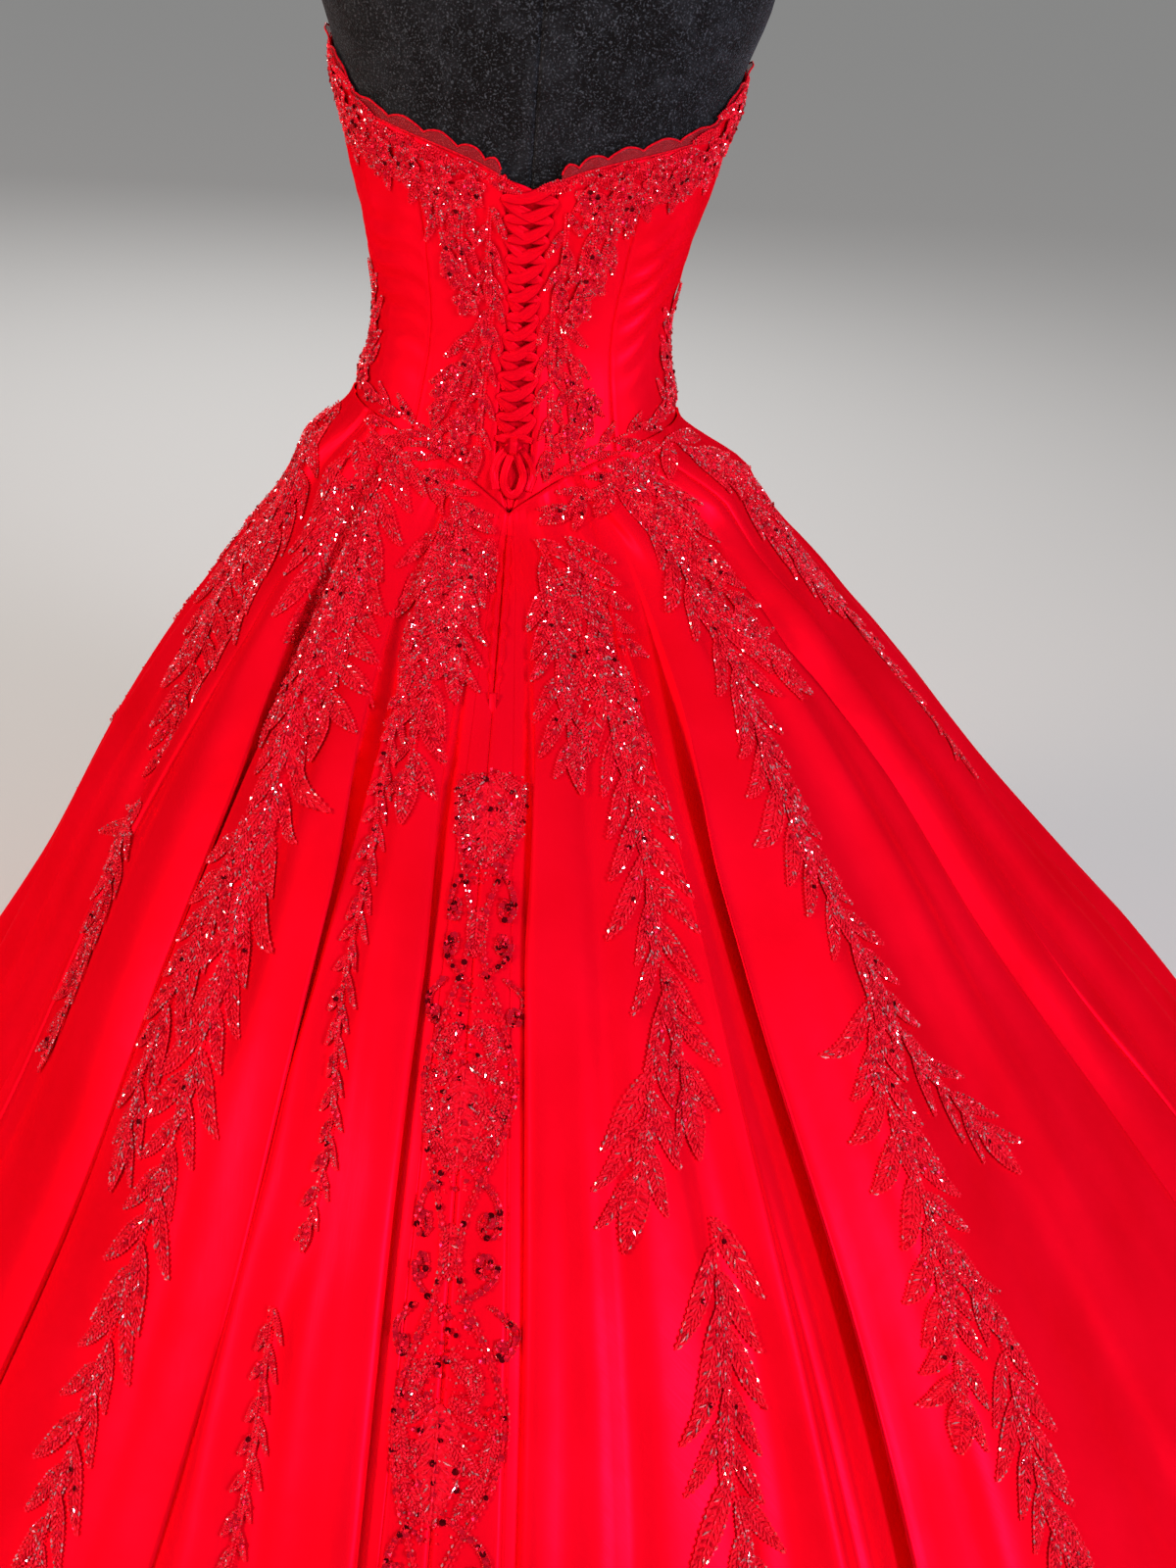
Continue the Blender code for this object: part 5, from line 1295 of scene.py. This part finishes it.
lace = corded_lace()
# Painted glints: the pale pink silver-lined beads are strewn among the red ones to stand for sparkle.
BEAD_FINISHES = [
    glass("glass_beads_silver_lined_red", "#FF1E38", 0.15, 0.24),
    glass("glass_beads_pink_painted_glints", "#FFA6B0", 0.85, 0.10),
    glass("glass_beads_dark_red", "#D40A22", 0.25, 0.24),
    glass("foil_sequins_pressed_red", "#E41430", 0.60, 0.22),
    # Painted shade: this darker foil is a copy of the red one, for sequins turned away from the light.
    glass("foil_sequins_painted_shade", "#6C0814", 0.80, 0.16),
]
# Leaves of the full length stand this far apart on a stem, and shorter ones closer.
SPRAY_SPACING, FULL_LEAF, SEQUIN_RADIUS = 0.034, 0.058, 0.0021
SPRAY_SEQUIN_SHARE = 0.6
# Stems of each spray: leaf length, then angle and height at each bend.
SPRAYS = {
    "spray_back_right_inner": (
        (0.060, ((-6, 0.922), (-9, 0.910), (-13, 0.878), (-16.1, 0.841), (-18.1, 0.801),
                 (-18.5, 0.769), (-18.5, 0.727), (-19.1, 0.685), (-19.3, 0.650))),
        (0.062, ((-16.5, 0.690), (-15, 0.655), (-13.6, 0.620))),
        (0.050, ((-8, 0.905), (-9, 0.870), (-10.8, 0.822))),
        (0.044, ((-13, 0.925), (-17.5, 0.892), (-19.4, 0.860), (-19.8, 0.825))),
        (0.064, ((-19.3, 0.602), (-18.9, 0.572), (-18.5, 0.546), (-17.6, 0.518), (-17, 0.481),
                 (-17.2, 0.435), (-17.2, 0.390))),
    ),
    "spray_back_right_middle": (
        (0.056, ((-27, 0.962), (-33.3, 0.945), (-35.8, 0.913), (-38, 0.883), (-43.7, 0.865),
                 (-47.6, 0.846))),
        (0.048, ((-40, 0.980), (-41, 0.945), (-43, 0.905), (-46, 0.880))),
        (0.042, ((-66, 0.988), (-52, 0.978), (-38, 0.966), (-24, 0.950), (-14, 0.936))),
        (0.058, ((-39, 0.880), (-39.5, 0.845), (-38.3, 0.800), (-38.2, 0.761), (-39.3, 0.725),
                 (-40.8, 0.694), (-41.2, 0.655), (-44.1, 0.609), (-46.2, 0.570))),
        (0.056, ((-39.6, 0.688), (-37.8, 0.660), (-36.7, 0.625), (-36.6, 0.588), (-36.4, 0.549),
                 (-37.6, 0.510))),
        (0.052, ((-35.7, 0.566), (-34.7, 0.511), (-33.5, 0.472))),
        (0.054, ((-38, 0.500), (-37.4, 0.470), (-36.6, 0.434), (-36.3, 0.386), (-36.2, 0.340))),
    ),
    "spray_hip_right": (
        (0.052, ((-62, 0.986), (-76, 0.966), (-83, 0.938), (-85.7, 0.900), (-84.5, 0.843),
                 (-84.4, 0.790), (-81.5, 0.730))),
        (0.046, ((-68, 0.980), (-73, 0.945), (-76, 0.905), (-77, 0.860))),
    ),
    "spray_back_left_inner": (
        (0.052, ((4, 0.918), (6.1, 0.905), (9.1, 0.888), (11.5, 0.860), (13, 0.825),
                 (12.8, 0.805))),
        (0.046, ((17, 0.945), (13, 0.925), (10, 0.890), (8, 0.855))),
        (0.046, ((17, 0.930), (17.5, 0.895), (17, 0.855))),
        (0.040, ((62, 0.984), (50, 0.976), (34, 0.962), (20, 0.946), (11, 0.932))),
    ),
    "spray_back_left_wide": (
        (0.060, ((48, 0.974), (42.9, 0.940), (39.2, 0.893), (36.2, 0.855), (35.5, 0.817),
                 (33.8, 0.778), (32.8, 0.738), (32.6, 0.699), (32.1, 0.659), (32, 0.617),
                 (32.1, 0.574), (32.2, 0.527), (32.3, 0.479), (32.3, 0.433), (32, 0.387),
                 (32, 0.340))),
        (0.054, ((56, 0.972), (50.5, 0.930), (47, 0.890), (43.5, 0.850), (41, 0.815))),
        (0.054, ((39, 0.968), (35, 0.920), (31.5, 0.865), (30, 0.820))),
        (0.052, ((36.5, 0.760), (37, 0.715), (37.5, 0.670), (37.8, 0.625), (37.2, 0.575))),
        (0.024, ((17.8, 0.845), (17.4, 0.810), (16.4, 0.760), (16, 0.700), (14.6, 0.640),
                 (15, 0.590))),
        (0.022, ((16.8, 0.550), (16.2, 0.493), (16, 0.426), (16, 0.370))),
    ),
    "spray_back_left_side": (
        (0.048, ((82, 0.975), (80, 0.925), (75.5, 0.870), (70.5, 0.820), (67, 0.760), (64.5, 0.715),
                 (60, 0.690))),
        (0.034, ((58.5, 0.700), (57, 0.665), (55.8, 0.635), (55.3, 0.601), (55.2, 0.560))),
        (0.048, ((90, 0.985), (88, 0.940), (84, 0.890), (79, 0.840), (74, 0.790))),
        (0.048, ((73, 0.960), (70, 0.920), (66.5, 0.875), (64, 0.840), (63.5, 0.800))),
        (0.046, ((57.5, 0.718), (61.5, 0.692), (65.5, 0.668))),
    ),
    "spray_side_left": (
        (0.054, ((95, 0.975), (98, 0.900), (99, 0.820), (99, 0.730), (98, 0.630), (97, 0.530))),
        (0.046, ((106, 0.960), (107, 0.890), (106, 0.820))),
    ),
    "spray_front_left": (
        (0.056, ((150, 0.960), (153, 0.900), (154, 0.820), (154, 0.730), (154, 0.630),
                 (154, 0.510))),
    ),
    "spray_front_right": (
        (0.056, ((-151, 0.960), (-154, 0.900), (-154, 0.820), (-154, 0.730), (-154, 0.630),
                 (-154, 0.510))),
    ),
}


def spray_leaves(surface, leaf_length, stem, spacing):
    """Leaves along a stem, from side to side and fanned downwards, with one at its end."""
    angles, heights = np.array(stem, float).T
    walked = run_along(surface(angles, heights))
    spacing *= max(0.7, leaf_length / FULL_LEAF)
    step = np.arange(0.2 * spacing, walked[-1], spacing / 2)
    angle, height = (smooth_curve(step, walked, values) for values in (angles, heights))
    per_degree, per_metre_down = cloth_scale(surface, angle, height)
    stem_heading = np.arctan2(np.gradient(angle) * per_degree, -np.gradient(height) * per_metre_down)
    made = []
    for k in range(len(step)):
        side = 1 if k % 2 else -1
        taper = 0.72 + 0.28 * math.sin(math.pi * min(1.0, 0.25 + 0.75 * step[k] / walked[-1]))
        for fan, share in ((0.60, 1.10), (0.15, 0.96))[: 1 + (k // 2) % 2]:
            length = leaf_length * taper * share * chance.uniform(0.82, 1.12)
            heading = stem_heading[k] + side * fan * chance.uniform(0.8, 1.2)
            lift = 0.0005 + 0.0011 * chance.random()
            made.append((angle[k], height[k], heading, length, length * 0.108, -side * 0.10 * share, lift))
    last = leaf_length * 0.95, leaf_length * 0.15, 0.03, 0.0017
    made.append((angle[-1], height[-1], stem_heading[-1], *last))
    return made, (angle, height)


def stem_beads(surface, stem_line):
    """Two rows of seed beads down a stem."""
    count = len(stem_line[0])
    steps = np.linspace(0, count - 1, count * 5)
    angle, height = (np.interp(steps, np.arange(count), values) for values in stem_line)
    per_degree = cloth_scale(surface, angle, height)[0]
    groups = []
    for side in (-0.0013, 0.0013):
        a, normal = lie_on(surface, angle + side / per_degree, height, 0.0026)
        thick = np.full(len(a) - 1, STEM_SEED_RADIUS)
        groups.append([(a[:-1] + a[1:]) / 2, (a[1:] - a[:-1]) * 0.46, normal[:-1], thick])
    return groups


def leaf_sequins(surface, leaf, share):
    """Small sequins sewn here and there on the leaves."""
    keep = chance.random(len(leaf["angle"])) < share
    picked = {key: value[keep] for key, value in leaf.items()}
    places = leaf_places(picked, np.array([0.30, 0.5]), np.array([0.35, -0.3]))
    middle, normal = lie_on(surface, *places, picked["lift"][:, None] + 0.0022)
    return middle.reshape(-1, 3), normal.reshape(-1, 3), np.full(middle[..., 0].size, SEQUIN_RADIUS)


def sew_on(surface, name, single_leaves, stems, spacing, cut, area, under, sequin_share):
    """One cut-out of lace, of single leaves and those of its stems, and its trimmings beside it."""
    made, beads = list(single_leaves), []
    for leaf_length, stem in stems:
        more, stem_line = spray_leaves(surface, leaf_length, stem, spacing)
        made += more
        beads += stem_beads(surface, stem_line)
    leaf = leaves_on(surface, made)
    cloth = mesh_piece(name + "_lace", *leaf_cloth(surface, leaf), [lace])
    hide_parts(name)
    sequins = leaf_sequins(surface, leaf, sequin_share)
    trim = trimmings(name + "_beads", [leaf_beads(surface, leaf)] + beads, sequins)


# The rectangle each spray is cut from, the lace left in it, and the gore it is sewn to.
SPRAY_CUTS = {
    "spray_back_right_inner": ((0.19, 0.88), 0.052, "skirt_back_right_satin"),
    "spray_back_right_middle": ((0.24, 0.88), 0.065, "skirt_back_right_satin"),
    "spray_hip_right": ((0.15, 0.44), 0.022, "skirt_side_back_right_satin"),
    "spray_back_left_inner": ((0.24, 0.30), 0.024, "skirt_back_left_satin"),
    "spray_back_left_wide": ((0.24, 1.00), 0.075, "skirt_back_left_satin"),
    "spray_back_left_side": ((0.20, 0.60), 0.039, "skirt_side_back_left_satin"),
    "spray_side_left": ((0.15, 0.56), 0.0287, "skirt_side_front_left_satin"),
    "spray_front_left": ((0.12, 0.58), 0.0235, "skirt_front_satin"),
    "spray_front_right": ((0.12, 0.58), 0.0238, "skirt_front_satin"),
}
for name, stems in SPRAYS.items():
    sew_on(on_skirt, name, [], stems, SPRAY_SPACING, *SPRAY_CUTS[name], SPRAY_SEQUIN_SHARE)

# ---------------------------------------------------------------- beaded inset of the box pleat
# Down the middle of the box pleat runs a symmetrical scroll pattern: lace drops and leaves, cords
# couched down in curls, and rows of sequins and beads that thin out towards the pleat's edges.

INSET_LINE = columns(
    ("height", "middle", "half"),
    (0.810, 0.1, 5.2), (0.740, 0.5, 5.2), (0.640, 0.8, 5.0), (0.500, 0.7, 4.7), (0.350, 0.8, 4.4),
    (0.200, 0.9, 4.1), (0.060, 1.0, 3.8),
)
INSET_TOP, INSET_FOOT, MOTIF_LENGTH = 0.808, 0.075, 0.215
INSET_CORD_RADIUS, INSET_SEED_RADIUS, INSET_SEED_LENGTH = 0.0013, 0.0010, 0.0026
SCATTERED_SEQUINS, SCATTERED_SEEDS = 700, 5200

inset_height = np.linspace(INSET_TOP, INSET_FOOT, 240)
inset_run = run_along(on_skirt(at_height(INSET_LINE, "middle", inset_height), inset_height))
INSET_LENGTH = float(inset_run[-1])
motifs = int(INSET_LENGTH / MOTIF_LENGTH)
motif_length = INSET_LENGTH / motifs


def inset_place(share, run):
    """Angle and height of a place in the inset: share of its half width, metres from its top."""
    height = np.interp(run, inset_run, inset_height)
    return at_height(INSET_LINE, "middle", height) + share * at_height(INSET_LINE, "half", height), height


def in_field(over, down):
    """Which places lie inside the filled drops; between the drops the satin shows under the scrolls."""
    phase = (down / motif_length + 0.26) % 1
    return np.abs(over) < 0.90 * np.sin(math.pi * np.clip(phase / 0.68, 0, 1)) ** 0.5


def curl(start, end, turns, radius, side):
    """A scroll in the inset's own plane that ends in a spiral."""
    t = np.linspace(0, 1, 26)
    x = start[0] + (end[0] - start[0]) * t + 0.16 * np.sin(math.pi * t)
    y = (start[1] + (end[1] - start[1]) * t) * motif_length
    spin = np.linspace(0, turns * 2 * math.pi, 30)[1:]
    shrink = 1 - 0.82 * spin / spin[-1]
    x = np.concatenate([x, end[0] - radius[0] * (1 - np.cos(spin) * shrink)])
    y = np.concatenate([y, end[1] * motif_length + radius[1] * np.sin(spin) * shrink])
    return side * x, y


# Scrolls of each motif: start and end in shares of its half width and length, turns and end radii.
SCROLLS = (
    ((0.20, 0.34), (0.74, 0.50), 1.2, (0.17, 0.012)),
    ((0.16, 0.74), (0.72, 0.62), 1.2, (0.17, 0.011)),
    ((0.62, 0.74), (0.95, 0.86), 1.1, (0.12, 0.009)),
)
# Leaves at both sides of each motif: share across and down, heading, length and half width.
SIDE_LEAVES = (
    (0.12, 0.01, 1.05, 0.032, 0.0050), (0.16, 0.12, 0.75, 0.036, 0.0056),
    (0.74, 0.08, -0.10, 0.036, 0.0050), (0.62, 0.22, -0.45, 0.034, 0.0050),
    (0.10, 0.88, 0.80, 0.034, 0.0052), (0.42, 0.90, 0.20, 0.030, 0.0048),
)
# Drops down the middle of each motif: share down, length and half width.
MIDDLE_DROPS = ((0.02, 0.078, 0.0150), (0.50, 0.040, 0.0070))

cord_paths, inset_leaves = [], []
for side in (-1, 1):
    y = np.linspace(0.01, INSET_LENGTH - 0.01, 34 * motifs)
    step = np.arange(len(y))
    sway_share = 0.52 + 0.38 * np.cos(2 * math.pi * (y / motif_length - 0.09))
    for piece in np.split(step, motifs):
        fitted = np.linspace(piece[0], min(piece[-1] + 1, len(y) - 1), 55)
        x = side * np.interp(fitted, step, sway_share)
        cord_paths.append(inset_place(x, np.interp(fitted, step, y)))
for m in range(motifs):
    begin = m * motif_length
    for side in (-1, 1):
        for start, end, turns, radius in SCROLLS:
            x, y = curl(start, end, turns, radius, side)
            cord_paths.append(inset_place(x, begin + y))
        for share, down, heading, length, half in SIDE_LEAVES:
            place = inset_place(side * share, begin + down * motif_length)
            inset_leaves.append((*place, side * heading, length, half, -side * 0.08, 0.0006))
    for down, length, half in MIDDLE_DROPS:
        place = inset_place(0.0, begin + down * motif_length)
        inset_leaves.append((*place, 0.0, length, half, 0.0, 0.0009))
leaf = leaves_on(on_skirt, [tuple(float(x) for x in row) for row in inset_leaves])
inset = mesh_piece("skirt_centre_back_beading_lace", *leaf_cloth(on_skirt, leaf), [lace])
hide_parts("skirt_centre_back_beading")

cord_angle, cord_height = (np.array([path[k] for path in cord_paths]) for k in (0, 1))
cord_path, cord_normal = lie_on(on_skirt, cord_angle, cord_height, 0.0011)
inset_cords = tube("skirt_centre_back_beading_cords", cord_path, INSET_CORD_RADIUS, cord, sides=5)

# Seed beads on both sides of the cords, sequins and loose seed beads in the drops.
inset_groups = []
for shift in (-0.22, 0.22):
    side_path, normal = lie_on(on_skirt, cord_angle + shift, cord_height, 0.0013)
    step = side_path[:, 1:] - side_path[:, :-1]
    half = unit(step) * np.clip(np.linalg.norm(step, axis=-1, keepdims=True) * 0.46, 0.0008, 0.0015)
    middle = (side_path[:, 1:] + side_path[:, :-1]) / 2
    thick = np.full(step[..., 0].size, STEM_SEED_RADIUS)
    inset_groups.append([x.reshape(-1, 3) for x in (middle, half, normal[:, 1:])] + [thick])
down, over = chance.random((2, SCATTERED_SEQUINS))
down, over = INSET_LENGTH * down, (over - 0.5) * 1.9
filled = in_field(over, down)
middle, normal = lie_on(on_skirt, *inset_place(over[filled], down[filled]), 0.0016)
every_third = cord_normal[:, 2::3].reshape(-1, 3)
middle = np.concatenate([middle, cord_path[:, 2::3].reshape(-1, 3) + every_third * 0.0012])
normal = np.concatenate([normal, every_third])
sequin_places = (middle, normal, chance.choice((0.0019, 0.0025), len(middle)))
down = chance.random(SCATTERED_SEEDS) * INSET_LENGTH
over = chance.uniform(-0.95, 0.95, SCATTERED_SEEDS)
filled = in_field(over, down)
middle, normal = lie_on(on_skirt, *inset_place(over[filled], down[filled]), 0.0010)
half = unit(chance.normal(0, 1, middle.shape)) * INSET_SEED_LENGTH / 2
inset_groups.append([middle, half, normal, np.full(len(middle), INSET_SEED_RADIUS)])
inset_groups.append(leaf_beads(on_skirt, leaf))
# About a quarter of the inset's sequins get the darker foil, painted shade.
trim = trimmings("skirt_centre_back_beading_beads", inset_groups, sequin_places, shaded_sequin_share=0.24)

# ---------------------------------------------------------------- lace on the bodice and the hips
# Smaller leaves and five-petalled lace flowers follow the neckline, hang in points below it, lie
# along both sides of the lacing and climb from the hips. They are sewn down round their edges.

# Columns and heights of the points that hang below the neckline.
NECKLINE_POINTS = (
    (20, 1.168), (24, 1.128), (29, 1.152), (34, 1.140), (41, 1.180), (50, 1.172), (58, 1.196),
    (68, 1.184), (80, 1.212), (94, 1.204), (110, 1.236), (126, 1.222), (140, 1.248), (154, 1.230),
    (171, 1.226),
)
# Stems beside the lacing and on the hips: leaf length, then angle and height at each bend.
LACING_STEMS = (
    (0.028, ((11.4, 1.180), (12.6, 1.150), (12.2, 1.112))),
    (0.030, ((20, 1.180), (22.5, 1.150), (21, 1.112))),
    (0.030, ((28, 1.182), (30, 1.160), (27, 1.130))),
    (0.026, ((10.8, 1.112), (11.2, 1.085), (12.2, 1.055), (12.2, 1.015), (11.4, 0.976))),
    (0.030, ((14, 1.090), (18.5, 1.062), (23.5, 1.030), (26, 1.010))),
    (0.028, ((16, 1.050), (19.5, 1.020), (21, 0.990))),
    (0.030, ((9, 0.954), (17.5, 0.970), (33, 0.987), (46, 0.996), (58, 1.001))),
)
HIP_STEMS = (
    (0.034, ((84, 1.004), (83, 1.040), (81, 1.092))),
    (0.026, ((72, 1.004), (72.5, 1.022), (74, 1.040))),
    (0.028, ((98, 1.008), (97, 1.034), (92, 1.066))),
    (0.024, ((108, 1.008), (106, 1.024), (103, 1.038))),
)
# Where single flowers are sewn beside the lacing, and on each hip with their size.
LACING_FLOWERS = ((25, 1.116), (21, 1.094), (27, 1.020), (19, 0.992))
HIP_FLOWERS = ((88, 1.018, 0.013), (76, 1.012, 0.012))
LACING_SPACING, FLOWER_SIZE, EDGE_LEAF, HANGING_LEAF = 0.040, 0.0125, 0.031, 0.026
BODICE_SEQUIN_SHARE = 0.8


def flower(angle, height, size, lift):
    """Five rounded petals round one place."""
    turn = chance.uniform(0, 1.2)
    return [(angle, height, turn + k * 2 * math.pi / 5, size, size * 0.34, 0.04, lift) for k in range(5)]


def neckline_leaves(sign):
    """Leaves lying along the neckline, flowers between them and leaves hanging to the band's points."""
    made = []
    for column in np.arange(13.5, 172, 5.2):
        edge = float(bodice_edge(column))
        lean = 1.25 if int(column / 5.2) % 2 else -1.15
        lift = 0.0006 + 0.0008 * chance.random()
        made.append((sign * column, edge - 0.0056, sign * lean * 1.12, EDGE_LEAF, 0.0052, 0.05, lift))
        turned_in = -sign * lean * 0.6
        made.append((sign * (column + 2.4), edge - 0.016, turned_in, HANGING_LEAF, 0.0048, 0.06, 0.0012))
    for column in np.arange(18, 170, 11.0):
        made += flower(sign * column, float(bodice_edge(column)) - 0.021, FLOWER_SIZE, 0.0022)
    for column, height in LACING_FLOWERS:
        made += flower(sign * column, height, FLOWER_SIZE, 0.0018)
    for column, low in NECKLINE_POINTS:
        root = float(bodice_edge(column)) - 0.024
        length = max(0.020, min(0.042, root - low))
        for fan, share in ((-0.62, 0.78), (0.0, 1.0), (0.58, 0.78)):
            lift = 0.0008 + 0.0006 * abs(fan)
            made.append((sign * column, root, fan, length * share, 0.0052, -0.08 * fan, lift))
    return made


for side, sign in (("left", 1), ("right", -1)):
    hip_flowers = [petal for a, h, size in HIP_FLOWERS for petal in flower(sign * a, h, size, 0.0020)]
    for kind, stems, single_leaves, cut, area, under in (
        ("bodice_applique", LACING_STEMS, neckline_leaves(sign), (0.25, 0.46), 0.036, "bodice_back"),
        ("hip_applique", HIP_STEMS, hip_flowers, (0.10, 0.12), 0.0041, "bodice_side_back"),
    ):
        on_this_side = [(length, [(sign * a, h) for a, h in stem]) for length, stem in stems]
        sewn_to = f"{under}_{side}_satin"
        sew_on(
            on_bodice, f"{kind}_{side}", single_leaves, on_this_side, LACING_SPACING, cut, area, sewn_to,
            BODICE_SEQUIN_SHARE,
        )
